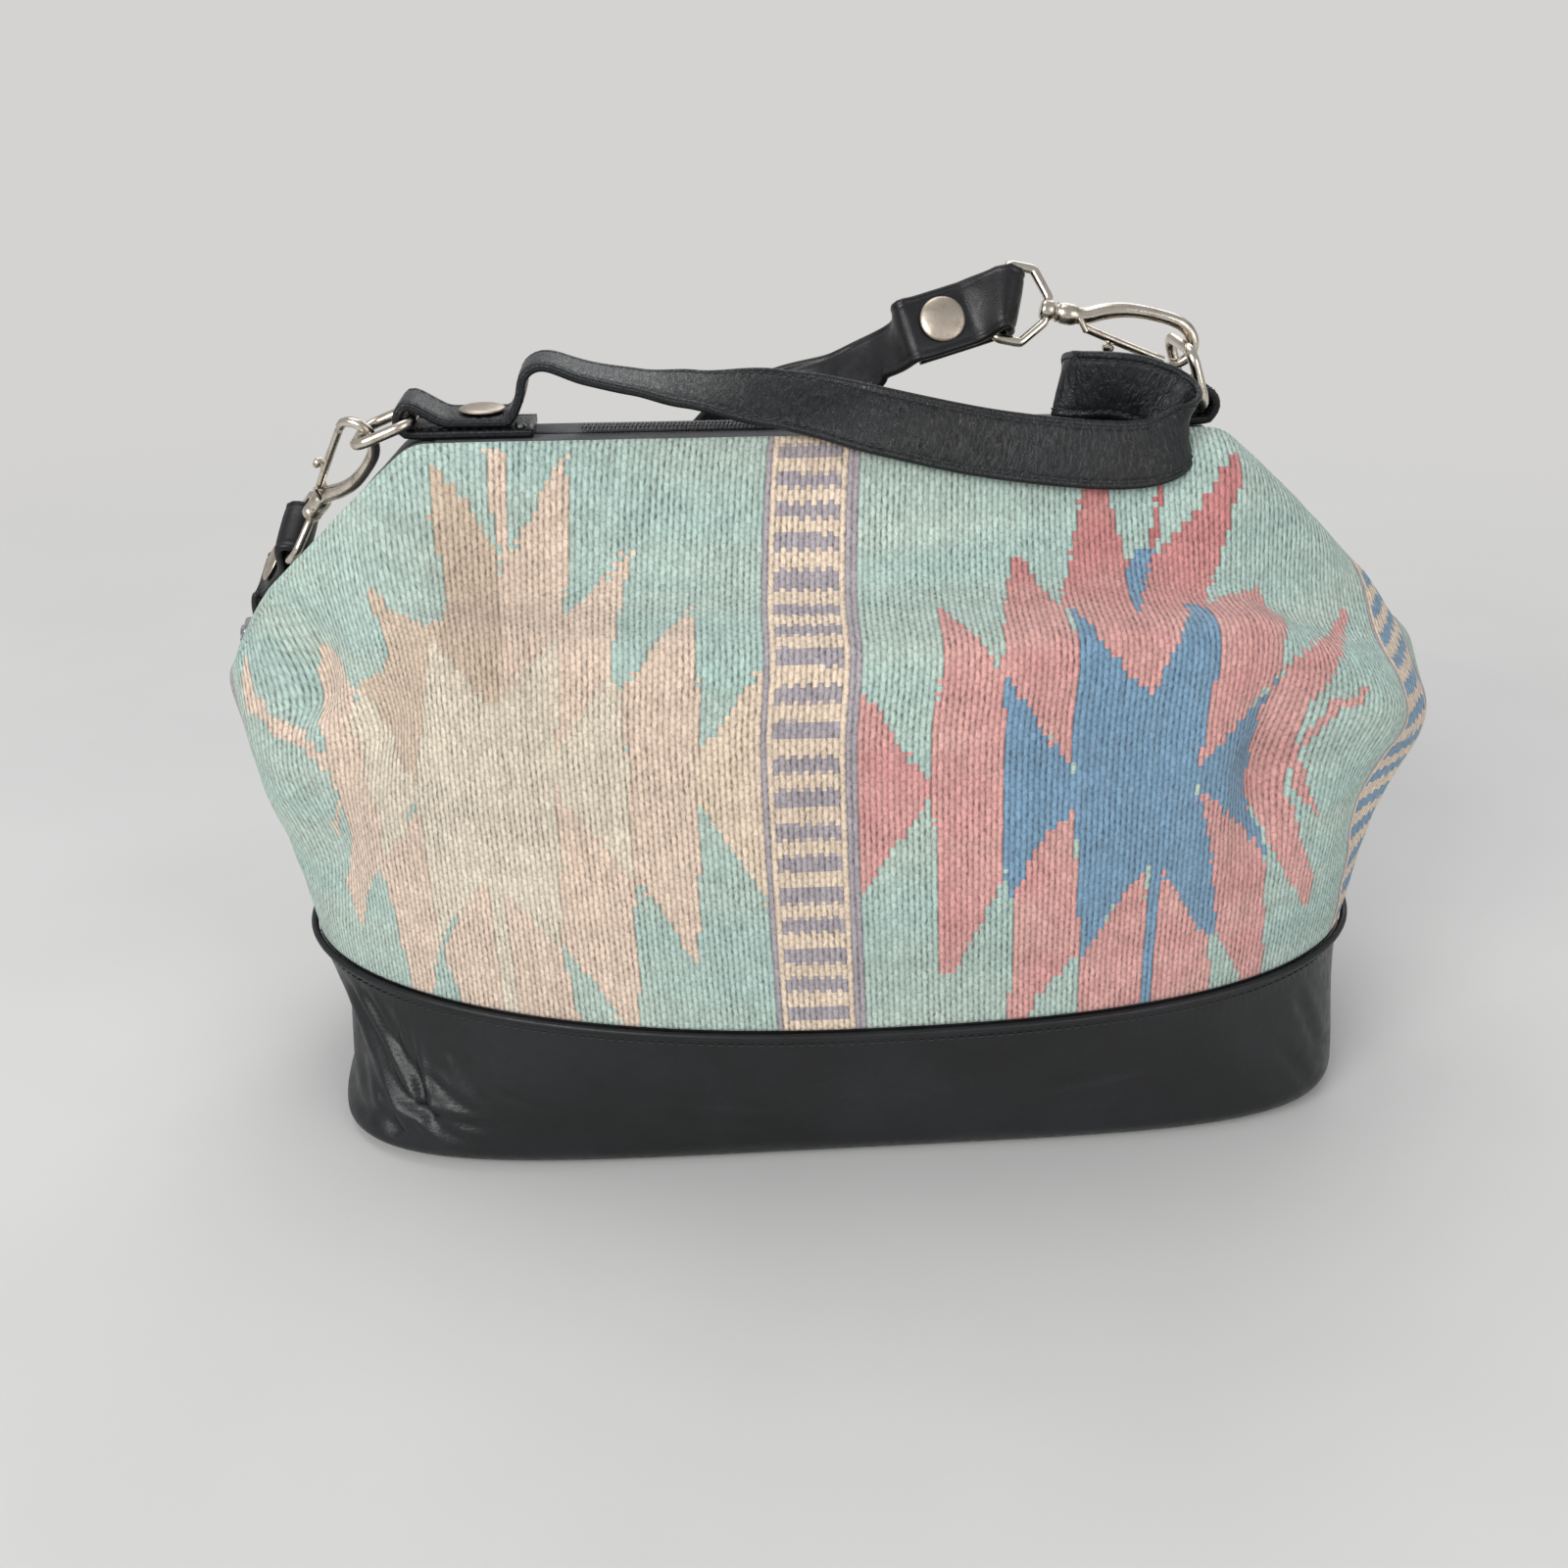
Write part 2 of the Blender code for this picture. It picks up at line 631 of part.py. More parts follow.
def build_frame(half, side, lug_low, lug_high):
    """One half of the frame: side is -1 in front and 1 behind."""
    near = side * CHANNEL_TO_MIDDLE
    far = side * (CHANNEL_TO_MIDDLE + CHANNEL_WIDTH)
    low, high = sorted((near, far))
    channel = extruded_outline(half + "_channel", band(0, CHANNEL_HEIGHT, -CHANNEL_STOP), low, high)
    hollow_low = low + CHANNEL_WALL
    hollow_high = high - CHANNEL_WALL
    outline = band(CHANNEL_WALL, CHANNEL_HEIGHT + 4 * MM, 0)
    hollow = extruded_outline(half + "_channel_hollow", outline, hollow_low, hollow_high, CUTTERS)
    boolean(channel, hollow, "DIFFERENCE")
    finish_object(channel, BLACK, 0.5)

    rod_far = side * (CHANNEL_TO_MIDDLE + CHANNEL_WIDTH - CHANNEL_WALL - GAP)
    rod_near = rod_far - side * ROD_THICKNESS
    rod_low, rod_high = sorted((rod_near, rod_far))
    top = CHANNEL_WALL + GAP
    rod = extruded_outline(half + "_frame_rod", band(top, top + ROD_HEIGHT, 2 * MM), rod_low, rod_high)
    for end, word in ((-1, "left"), (1, "right")):
        lug = cylinder(
            half + "_lug_" + word, LUG_RADIUS,
            (FRAME_CENTRE + end * lug_low, 0, HINGE_Z), (FRAME_CENTRE + end * lug_high, 0, HINGE_Z), 14, CUTTERS)
        arm_x = sorted((FRAME_CENTRE + end * (lug_low + LUG_STEP), FRAME_CENTRE + end * (lug_high - LUG_STEP)))
        arm_y = sorted((0, rod_far - side * 3 * LUG_STEP))
        arm = box(half + "_arm_" + word, (arm_x[0], arm_y[0], HINGE_Z - LUG_RADIUS * 0.8),
                  (arm_x[1], arm_y[1], HINGE_Z + LUG_RADIUS * 0.5), CUTTERS)
        foot_x = sorted((FRAME_CENTRE + end * (HINGE_X - ROD_HEIGHT),
                         FRAME_CENTRE + end * (lug_high - 2 * LUG_STEP)))
        foot = box(half + "_foot_" + word, (foot_x[0], rod_low + 2 * LUG_STEP, HINGE_Z - LUG_RADIUS * 0.9),
                   (foot_x[1], rod_high - 2 * LUG_STEP, HINGE_Z + LUG_RADIUS * 0.3), CUTTERS)
        bore = cylinder(
            half + "_bore_" + word, HINGE_PIN_RADIUS + PIN_CLEARANCE,
            (FRAME_CENTRE + end * (lug_low - 8 * MM), 0, HINGE_Z),
            (FRAME_CENTRE + end * (lug_high + 8 * MM), 0, HINGE_Z), 12, CUTTERS)
        for piece in (foot, arm, lug):
            boolean(rod, piece, "UNION")
        boolean(rod, bore, "DIFFERENCE")
    finish_object(rod, STEEL, 0.4, 1.0)


def build_hinge_pins():
    for name, end in (("left_hinge_pin", -1), ("right_hinge_pin", 1)):
        inner = HINGE_X - LUG_THICKNESS - 2 * GAP
        outer = HINGE_X + LUG_THICKNESS + 2 * GAP
        profile = [
            (0, inner - HINGE_HEAD_THICKNESS), (HINGE_HEAD_RADIUS, inner - HINGE_HEAD_THICKNESS),
            (HINGE_HEAD_RADIUS, inner), (HINGE_PIN_RADIUS, inner), (HINGE_PIN_RADIUS, outer),
            (HINGE_HEAD_RADIUS, outer), (HINGE_HEAD_RADIUS, outer + HINGE_HEAD_THICKNESS),
            (0, outer + HINGE_HEAD_THICKNESS)]
        place = axis_frame((FRAME_CENTRE, 0, HINGE_Z), (end, 0, 0), (0, 0, 1))
        finish_object(turned(name, profile, place, 12), STEEL, 0.35, 1.0)


# Zip


TAPE_Z = FRAME_TOP + GAP
COIL_Z = TAPE_Z + TAPE_THICKNESS + GAP + COIL_RADIUS
SLIDER_Z = COIL_Z + COIL_RADIUS + SLIDER_CLEARANCE
BRIDGE_Z = SLIDER_Z + SLIDER_PLATE


def box(name, low, high, collection=None):
    shape = bmesh.new()
    size = Vector(high) - Vector(low)
    place = Matrix.Translation((Vector(low) + Vector(high)) / 2) @ Matrix.Diagonal((*size, 1.0))
    bmesh.ops.create_cube(shape, size=1.0, matrix=place)
    return object_from_bmesh(name, shape, collection)


def build_zip():
    coil_count = round((COIL_RIGHT - COIL_LEFT) / COIL_PITCH)
    for half, side in (("front", -1), ("rear", 1)):
        near = side * (CHANNEL_TO_MIDDLE + 0.2 * MM)
        far = side * (CHANNEL_TO_MIDDLE + CHANNEL_WIDTH - 0.5 * MM)
        low, high = sorted((near, far))
        tape = box(half + "_zip_tape",
                   (FRAME_CENTRE - TAPE_HALF_LENGTH, low, TAPE_Z),
                   (FRAME_CENTRE + TAPE_HALF_LENGTH, high, TAPE_Z + TAPE_THICKNESS))
        finish_object(tape, (0.10, 0.10, 0.11), 0.8, smooth=False)
        points = []
        radii = []
        for step in range(2 * coil_count + 1):
            points.append((COIL_LEFT + COIL_PITCH / 2 * step, side * COIL_TO_MIDDLE, COIL_Z))
            radii.append(1.0 if step % 2 else 0.75)
        coil = tube(half + "_zip_coil", points, COIL_RADIUS, radii=radii, resolution=0)
        finish_object(coil, (0.25, 0.25, 0.26), 0.4)

    under = TAPE_Z - 0.9 * MM
    half_length = SLIDER_LENGTH / 2
    slider = box("zip_slider",
                 (SLIDER_REST_X - half_length, -SLIDER_WIDTH / 2, SLIDER_Z),
                 (SLIDER_REST_X + half_length, SLIDER_WIDTH / 2, BRIDGE_Z))
    neck = box("slider_neck",
               (SLIDER_REST_X - half_length + 2 * MM, -SLIDER_NECK / 2, under),
               (SLIDER_REST_X + half_length - 2 * MM, SLIDER_NECK / 2, SLIDER_Z + SLIDER_PLATE / 2), CUTTERS)
    boolean(slider, neck, "UNION")
    points = []
    for step in range(9):
        angle = math.pi * step / 8
        points.append((SLIDER_REST_X - BRIDGE_HALF * math.cos(angle), 0,
                       BRIDGE_Z - BRIDGE_WIRE / 2 + BRIDGE_RISE * math.sin(angle)))
    bridge = tube("slider_bridge", points, BRIDGE_WIRE, resolution=2, collection=CUTTERS)
    boolean(slider, as_mesh(bridge), "UNION")
    finish_object(slider, NICKEL, 0.3, 1.0)
    build_pull()


def build_pull():
    """A flat tab with an eye round the slider's bridge, lying along the zip."""
    pull_z = BRIDGE_Z + PULL_PIVOT_RISE
    bar = SLIDER_REST_X + EYE_BAR / 2
    outline = []
    for step in range(9):
        angle = math.pi / 2 + math.pi * step / 8
        outline.append((math.cos(angle) * PULL_WIDTH / 2, math.sin(angle) * PULL_WIDTH / 2))
    outline.append((PULL_LENGTH - 2 * MM, -PULL_WIDTH / 2))
    outline.append((PULL_LENGTH, -PULL_WIDTH / 4))
    outline.append((PULL_LENGTH, PULL_WIDTH / 4))
    outline.append((PULL_LENGTH - 2 * MM, PULL_WIDTH / 2))
    shape = bmesh.new()
    start = bar - PULL_WIDTH / 2
    corners = [shape.verts.new((start - x, y, pull_z - PULL_THICKNESS / 2)) for x, y in outline]
    plate = shape.faces.new(corners)
    grown = bmesh.ops.extrude_face_region(shape, geom=[plate])
    moved = [v for v in grown["geom"] if isinstance(v, bmesh.types.BMVert)]
    bmesh.ops.translate(shape, verts=moved, vec=(0, 0, PULL_THICKNESS))
    face_out(shape)
    pull = object_from_bmesh("zip_pull", shape)
    eye_half = BRIDGE_WIRE + 0.5 * MM
    hole = box("pull_eye", (bar - EYE_BAR - EYE_LENGTH, -eye_half, pull_z - PULL_THICKNESS * 2),
               (bar - EYE_BAR, eye_half, pull_z + PULL_THICKNESS * 2), CUTTERS)
    boolean(pull, hole, "DIFFERENCE")
    finish_object(pull, NICKEL, 0.3, 1.0)


# Straps: each is a flat band swept along a hand-chosen route


def band_sweep(name, route, sides, width, thickness):
    """A flat band: route points are its middle, sides are unit vectors across it."""
    shape = bmesh.new()
    rings = []
    for index, (place, across) in enumerate(zip(route, sides)):
        before = route[max(index - 1, 0)]
        after = route[min(index + 1, len(route) - 1)]
        along = (after - before).normalized()
        across = (across - along * across.dot(along)).normalized()
        up = across.cross(along)
        bevel = thickness * 0.3
        half = width / 2
        deep = thickness / 2
        section = [
            (-half, -deep + bevel), (-half + bevel, -deep), (half - bevel, -deep), (half, -deep + bevel),
            (half, deep - bevel), (half - bevel, deep), (-half + bevel, deep), (-half, deep - bevel)]
        rings.append([shape.verts.new(place + across * w + up * h) for w, h in section])
    for low, high in zip(rings, rings[1:]):
        count = len(low)
        for step in range(count):
            after = (step + 1) % count
            shape.faces.new((low[step], low[after], high[after], high[step]))
    shape.faces.new(rings[0])
    shape.faces.new(list(reversed(rings[-1])))
    face_out(shape)
    return object_from_bmesh(name, shape)


def thinned(places, sides, turn_limit, longest):
    """Leave out the points of a route where it hardly bends or twists."""
    kept = [0]
    for index in range(1, len(places) - 1):
        last = kept[-1]
        way = (places[last + 1] - places[last]).normalized()
        ahead = (places[index + 1] - places[index]).normalized()
        bend = way.angle(ahead, 0)
        twist = sides[last].angle(sides[index], 0)
        if bend + twist > turn_limit or (places[index] - places[last]).length > longest:
            kept.append(index)
    kept.append(len(places) - 1)
    return [places[index] for index in kept], [sides[index] for index in kept]


def route_and_sides(stations, spacing):
    """Smooth route and side vectors from stations of (place, direction across)."""
    marks = [place for place, _ in stations]
    across = [way.normalized() for _, way in stations]
    places = smooth_route(marks, spacing)
    lengths = [0.0]
    for a, b in zip(places, places[1:]):
        lengths.append(lengths[-1] + (b - a).length)
    stops = []
    search = 0
    for mark in marks:
        best = min(range(search, len(places)),
                   key=lambda i: (places[i] - mark).length + 0.02 * (i - search) * spacing)
        stops.append(lengths[best])
        search = best
    stops[-1] = lengths[-1]
    sides = []
    for length in lengths:
        index = 0
        while index < len(stops) - 2 and length > stops[index + 1]:
            index += 1
        span = max(stops[index + 1] - stops[index], 1e-6)
        share = smoothstep(0, 1, (length - stops[index]) / span)
        sides.append(across[index].lerp(across[index + 1], share).normalized())
    return thinned(places, sides, math.radians(16), 16 * MM)


def outline_rounded(half_long, half_wide, corner, steps):
    """Points round a rounded rectangle in its own plane, as (long, wide) pairs."""
    points = []
    for turn, (sign_long, sign_wide) in enumerate(((1, 1), (-1, 1), (-1, -1), (1, -1))):
        for step in range(steps + 1):
            angle = math.pi / 2 * (turn + step / steps)
            points.append((sign_long * (half_long - corner) + corner * math.cos(angle),
                           sign_wide * (half_wide - corner) + corner * math.sin(angle)))
    return points


TAB_Z = FRAME_TOP + 2 * GAP + TAPE_THICKNESS + STRAP_THICKNESS / 2
LAYER_STEP = STRAP_THICKNESS + 0.5 * MM
UPPER_LAYER = TAB_Z + LAYER_STEP
LOOP_TURN = LOOP_CORE + STRAP_THICKNESS / 2
TAB_Y = 2 * MM
LEFT_LOOP = Vector((-129 * MM, TAB_Y, TAB_Z + LOOP_TURN))
RIGHT_LOOP = Vector((119 * MM, TAB_Y, TAB_Z + LOOP_TURN))
LEFT_TAB = 37 * MM
RIGHT_TAB = 38 * MM
ACROSS_Y = Vector((0, 1, 0))


def mm(x, y, z):
    return Vector((x, y, z)) * MM


def turn_stations(centre, out, up, across, layer_length):
    """A band turned round a bar: lower layer, round the outer side, ready for the upper layer."""
    stations = [(centre - out * layer_length - up * LOOP_TURN, across),
                (centre - out * layer_length / 2 - up * LOOP_TURN, across)]
    for step in range(5):
        angle = math.pi * (step / 4 - 0.5)
        place = centre + (out * math.cos(angle) + up * math.sin(angle)) * LOOP_TURN
        stations.append((place, across))
    return stations


def build_handle():
    """The carrying handle, turned round a ring at each end and folded once near its right end."""
    up = Vector((0, 0, 1))
    left = turn_stations(LEFT_LOOP, Vector((-1, 0, 0)), up, ACROSS_Y, LEFT_TAB)
    layer = UPPER_LAYER / MM
    tab = TAB_Y / MM
    left += [
        (mm(-120, tab, layer + 0.6), ACROSS_Y), (mm(-114, tab, layer), ACROSS_Y),
        (mm(-104, tab, layer), ACROSS_Y), (mm(-99.2, tab, layer + 0.6), ACROSS_Y),
        (mm(-95.8, 1.5, 239), ACROSS_Y), (mm(-93.5, 1, 246.5), ACROSS_Y),
        (mm(-87, 0, 249.3), ACROSS_Y), (mm(-74, -3, 246), Vector((0, 1, 0.05))),
        (mm(-59, -5, 243.5), Vector((0, 1, 0.1))), (mm(-44, -8, 242), Vector((0, 1, 0.3))),
        (mm(-18, -14, 240), Vector((0, 1, 0.9))), (mm(-3, -18, 238), Vector((0, 0.8, 1))),
        (mm(15, -24, 234.5), Vector((0, 0.5, 1))), (mm(44, -31, 229.5), Vector((0, 0.35, 1))),
        (mm(74, -33.5, 226), Vector((0, 0.3, 1))), (mm(92, -33.5, 225.5), Vector((0, 0.35, 1)))]
    fold = [
        (mm(102, -31, 227.5), Vector((0.1, 0.45, 1))), (mm(107.5, -25, 231), Vector((0.1, 0.5, 1))),
        (mm(106, -18.5, 236), Vector((0, 0.3, 1))), (mm(98, -15, 240), Vector((-0.1, 0, 1))),
        (mm(88, -13.5, 242), Vector((-0.1, -0.1, 1))), (mm(79, -10.5, 241.5), Vector((0, 0, 1))),
        (mm(74, -5, 240.5), Vector((0.3, 0.3, 1))), (mm(78, 0.5, 238.2), Vector((0.2, 0.8, 0.7))),
        (mm(86, 2, 235.6), Vector((0, 1, 0.15))), (mm(90, tab, layer + 1.2), ACROSS_Y),
        (mm(94.5, tab, layer), ACROSS_Y), (mm(102, tab, layer), ACROSS_Y),
        (mm(108.3, tab, layer + 0.3), ACROSS_Y)]
    right = list(reversed(turn_stations(RIGHT_LOOP, Vector((1, 0, 0)), up, ACROSS_Y, RIGHT_TAB)))
    places, sides = route_and_sides(left + fold + right, 2 * MM)
    handle = band_sweep("handle_strap", places, sides, STRAP_WIDTH, STRAP_THICKNESS)
    for name, x in (("left_handle_cap", -108 * MM), ("right_handle_cap", 100 * MM)):
        build_cap(name, mm(x / MM, tab, layer), up, Vector((1, 0, 0)), handle)
    for name, x in (("left_handle_rivet", LEFT_LOOP.x + LEFT_TAB - 4 * MM),
                    ("right_handle_rivet", RIGHT_LOOP.x - RIGHT_TAB + 4 * MM)):
        build_fixing_rivet(name, x, handle)
    finish_object(handle, BLACK, 0.5)


def build_cap(name, upper, up, side, strap):
    """A domed cap rivet that holds two layers of strap: upper is the middle of the upper layer."""
    top = STRAP_THICKNESS / 2 + 2 * GAP
    bottom = -LAYER_STEP - STRAP_THICKNESS / 2
    place = axis_frame(upper, up, side)
    profile = [(0, bottom), (POST_RADIUS, bottom), (POST_RADIUS, top), (CAP_RADIUS, top),
               (CAP_RADIUS, top + 0.4 * MM), (CAP_RADIUS * 0.8, top + CAP_DOME * 0.7),
               (CAP_RADIUS * 0.45, top + CAP_DOME * 0.95), (0, top + CAP_DOME)]
    finish_object(turned(name, profile, place, 16), NICKEL, 0.3, 1.0)
    low = place @ Vector((0, 0, bottom - 2 * MM))
    high = place @ Vector((0, 0, top + MM))
    bore = cylinder(name + "_bore", POST_RADIUS + GAP, low, high, 12, CUTTERS)
    boolean(strap, bore, "DIFFERENCE")


def build_fixing_rivet(name, x, strap):
    """A small rivet that fixes the strap's lower layer down through the tape and the channel."""
    y = -(CHANNEL_TO_MIDDLE + CHANNEL_WALL + GAP + RIVET_HEAD)
    under = FRAME_TOP - CHANNEL_WALL - GAP
    over = TAB_Z + STRAP_THICKNESS / 2 + GAP
    profile = [(0, under - RIVET_HEAD_THICKNESS), (RIVET_HEAD, under - RIVET_HEAD_THICKNESS), (RIVET_HEAD, under),
               (RIVET_RADIUS, under), (RIVET_RADIUS, over), (RIVET_HEAD, over),
               (RIVET_HEAD * 0.7, over + RIVET_HEAD_THICKNESS), (0, over + RIVET_HEAD_THICKNESS)]
    place = axis_frame((x, y, 0), (0, 0, 1), (1, 0, 0))
    finish_object(turned(name, profile, place, 12), STEEL, 0.3, 1.0)
    for target in (strap, bpy.data.objects["front_channel"], bpy.data.objects["front_zip_tape"]):
        bore = cylinder(name + "_bore_" + target.name, RIVET_RADIUS + GAP / 2, (x, y, under - 2 * MM),
                        (x, y, over + MM), 12, CUTTERS)
        boolean(target, bore, "DIFFERENCE")


# Rings, hooks and swivel loops


def build_ring(name, loop, hang):
    """An oval ring: one long side lies in the handle's turned end, the other hangs out."""
    hang = Vector(hang).normalized()
    centre = loop + hang * RING_HALF_WIDTH
    outline = outline_rounded(RING_HALF_LENGTH, RING_HALF_WIDTH, RING_CORNER, 3)
    points = [centre + ACROSS_Y * long + hang * wide for long, wide in outline]
    ring = tube(name, points, RING_WIRE, closed=True, resolution=2)
    finish_object(ring, NICKEL, 0.28, 1.0)
    return centre + hang * RING_HALF_WIDTH


HOOK_BACK = [(0, 6), (-0.6, 10), (-3.2, 16), (-4.8, 23), (-5.0, 32), (-3.8, 40), (0, 44.8), (4.8, 45.4),
             (8.2, 42.4), (8.5, 39.4)]
HOOK_SEAT = (2.0, 41.2)
GATE_LINE = [(3.1, 10.4), (5.4, 22), (8.2, 37.6)]
KNOB_AT = 0.33


def hook_point(place, side, along):
    return place @ Vector((side * MM, 0, along * MM))


def gate_pivot(place):
    return hook_point(place, *GATE_LINE[0])


def build_hook(side_name, seat, along, opening):
    """A swivel snap hook whose claw holds the ring's hanging bar."""
    along = Vector(along).normalized()
    place = axis_frame((0, 0, 0), along, opening)
    place.translation = Vector(seat) - (place @ Vector((HOOK_SEAT[0] * MM, 0, HOOK_SEAT[1] * MM)))
    collar = [(0, COLLAR_BORE_DEPTH), (SWIVEL_PIN_RADIUS + PIN_CLEARANCE, COLLAR_BORE_DEPTH),
              (SWIVEL_PIN_RADIUS + PIN_CLEARANCE, 0), (COLLAR_RADIUS * 0.85, 0), (COLLAR_RADIUS, 0.7 * MM),
              (COLLAR_RADIUS, COLLAR_LENGTH - 2 * MM), (COLLAR_RADIUS * 0.7, COLLAR_LENGTH),
              (0, COLLAR_LENGTH + 0.4 * MM)]
    hook = turned(side_name + "_hook", collar, place, 16)
    route = smooth_route([hook_point(place, s, a) for s, a in HOOK_BACK], 3 * MM)
    count = len(route) - 1
    radii = []
    for step in range(count + 1):
        share = step / count
        radii.append(0.85 + 0.25 * math.sin(math.pi * min(1, share * 1.5)) - 0.3 * smoothstep(0.7, 1, share))
    wire = tube(side_name + "_hook_wire", route, HOOK_WIRE, radii=radii, resolution=2, collection=CUTTERS)
    boolean(hook, as_mesh(wire), "UNION")
    finish_object(hook, NICKEL, 0.28, 1.0)

    gate_points = smooth_route([hook_point(place, s, a) for s, a in GATE_LINE], 4.5 * MM)
    gate = as_mesh(tube(side_name + "_gate", gate_points, GATE_WIRE, resolution=2))
    knob_at = gate_points[round(len(gate_points) * KNOB_AT)]
    outward = (place.to_3x3() @ Vector((1, 0, 0))).normalized()
    knob_frame = axis_frame(knob_at, outward, along)
    knob = turned(side_name + "_gate_knob", [
        (0, 0.2 * MM), (GATE_KNOB * 0.5, 0.2 * MM), (GATE_KNOB * 0.5, 1.6 * MM), (GATE_KNOB, 2.2 * MM),
        (GATE_KNOB, 3.2 * MM), (GATE_KNOB * 0.6, 4 * MM), (0, 4.2 * MM)], knob_frame, 12, CUTTERS)
    boolean(gate, knob, "UNION")
    finish_object(gate, NICKEL, 0.28, 1.0)
    return place


def build_swivel_loop(side_name, place, bar_way):
    """A six-sided loop for the strap, with the swivel boss and pin that turn in the hook's collar."""
    along = (place.to_3x3() @ Vector((0, 0, 1))).normalized()
    turned_place = axis_frame(place.translation, along, bar_way)
    outline = [(-LOOP_BAR_HALF, -LOOP_REACH), (LOOP_BAR_HALF, -LOOP_REACH), (LOOP_BAR_HALF, -LOOP_SHOULDER),
               (4 * MM, -2.6 * MM), (-4 * MM, -2.6 * MM), (-LOOP_BAR_HALF, -LOOP_SHOULDER)]
    points = [turned_place @ Vector((side, 0, back)) for side, back in outline]
    loop = as_mesh(tube(side_name + "_swivel_loop", points, LOOP_WIRE, closed=True, resolution=2))
    profile = [(0, -4.6 * MM), (SWIVEL_BOSS * 0.8, -4.6 * MM), (SWIVEL_BOSS, -3.8 * MM), (SWIVEL_BOSS, -1.0 * MM),
               (SWIVEL_BOSS * 0.8, -GAP), (SWIVEL_PIN_RADIUS, -GAP), (SWIVEL_PIN_RADIUS, COLLAR_BORE_DEPTH - GAP),
               (0, COLLAR_BORE_DEPTH - GAP)]
    boss = turned(side_name + "_swivel_boss", profile, turned_place, 16, CUTTERS)
    boolean(loop, boss, "UNION")
    finish_object(loop, NICKEL, 0.28, 1.0)
    bar = turned_place @ Vector((0, 0, -LOOP_REACH))
    across = (turned_place.to_3x3() @ Vector((1, 0, 0))).normalized()
    return bar, across, along


LEFT_HANG = (-0.93, 0, -0.37)
RIGHT_HANG = (-0.35, 0, 0.94)
LEFT_HOOK_WAY = (0.553, -0.50, 0.667)
RIGHT_HOOK_WAY = (0.975, -0.128, -0.18)
LEFT_OPENING = (-1, 0, 1)
RIGHT_OPENING = (0, 0, -1)
LEFT_BAR_WAY = (0.03, 0.91, 0.42)
RIGHT_BAR_WAY = (0, 0.5, 0.87)


def build_shoulder_strap(left_bar, right_bar):
    """The clip-on strap: from the right loop over the rear edge, down behind the bag and up to the left loop."""
    right_at, right_across, right_out = right_bar
    left_at, left_across, left_out = left_bar
    right_up = right_out.cross(right_across)
    left_up = left_across.cross(left_out)
    start = turn_stations(right_at, right_out, right_up, right_across, SHOULDER_TAB)
    layers = LAYER_STEP
    cap_right = right_at - right_out * CAP_SETBACK + right_up * (layers - LOOP_TURN)
    start.append((cap_right + right_out * 10.5 * MM + right_up * 0.6 * MM, right_across))
    start.append((cap_right + right_out * 6 * MM, right_across))
    start.append((cap_right - right_out * 6 * MM, right_across))
    start.append((cap_right - right_out * 14 * MM, right_across))
    drape = [
        (mm(4, 24, 238.5), Vector((-0.15, 0.4, 0.9))), (mm(-18, 38, 226.5), Vector((-0.5, 0.1, 0.75))),
        (mm(-38, 53, 211), Vector((-0.88, -0.42, 0.2))), (mm(-54, 69, 201.5), Vector((-0.9, -0.4, 0.1))),
        (mm(-66, 83, 193), Vector((-0.93, -0.35, 0.1))), (mm(-74, 91, 178), Vector((-0.97, -0.1, 0.2))),
        (mm(-80, 90, 140), Vector((-1, -0.1, 0.15))), (mm(-86, 89.5, 92), Vector((-1, -0.15, 0.1))),
        (mm(-93, 89.5, 52), Vector((-1, -0.2, 0.25))), (mm(-104, 89.5, 28), Vector((-0.6, -0.1, 0.8))),
        (mm(-124, 88, 19), Vector((0, 0, 1))),
        (mm(-144, 82, 30), Vector((0.6, 0.2, 0.8))), (mm(-158, 73, 58), Vector((0.9, 0.4, 0.3))),
        (mm(-170, 64, 90), Vector((0.8, 0.5, 0.3))), (mm(-182, 55, 122), Vector((0.6, 0.7, 0.4))),
        (mm(-191, 47, 148), Vector((0.4, 0.8, 0.45)))]
    end = turn_stations(left_at, left_out, -left_up, left_across, SHOULDER_TAB)
    cap_left = left_at - left_out * CAP_SETBACK - left_up * (layers - LOOP_TURN)
    end.append((cap_left + left_out * 10.5 * MM - left_up * 0.6 * MM, left_across))
    end.append((cap_left + left_out * 6 * MM, left_across))
    end.append((cap_left - left_out * 6 * MM, left_across))
    end.append((cap_left - left_out * 12 * MM, left_across))
    places, sides = route_and_sides(start + drape + list(reversed(end)), 2 * MM)
    strap = band_sweep("shoulder_strap", places, sides, STRAP_WIDTH, STRAP_THICKNESS)
    build_cap("right_strap_cap", cap_right, right_up, right_out, strap)
    build_cap("left_strap_cap", cap_left, -left_up, left_out, strap)
    finish_object(strap, BLACK, 0.4)


def build_fittings():
    left_seat = build_ring("left_ring", LEFT_LOOP, LEFT_HANG)
    right_seat = build_ring("right_ring", RIGHT_LOOP, RIGHT_HANG)
    left_place = build_hook("left", left_seat, LEFT_HOOK_WAY, LEFT_OPENING)
    right_place = build_hook("right", right_seat, RIGHT_HOOK_WAY, RIGHT_OPENING)
    left_bar = build_swivel_loop("left", left_place, LEFT_BAR_WAY)
    right_bar = build_swivel_loop("right", right_place, RIGHT_BAR_WAY)
    build_shoulder_strap(left_bar, right_bar)
    set_origins({"left": left_seat, "right": right_seat}, {"left": left_place, "right": right_place})


# Each moving piece's origin is put on the axis it turns about


def move_origin(name, place):
    thing = bpy.data.objects[name]
    thing.data.transform(Matrix.Translation(-place))
    thing.matrix_world = Matrix.Translation(place)


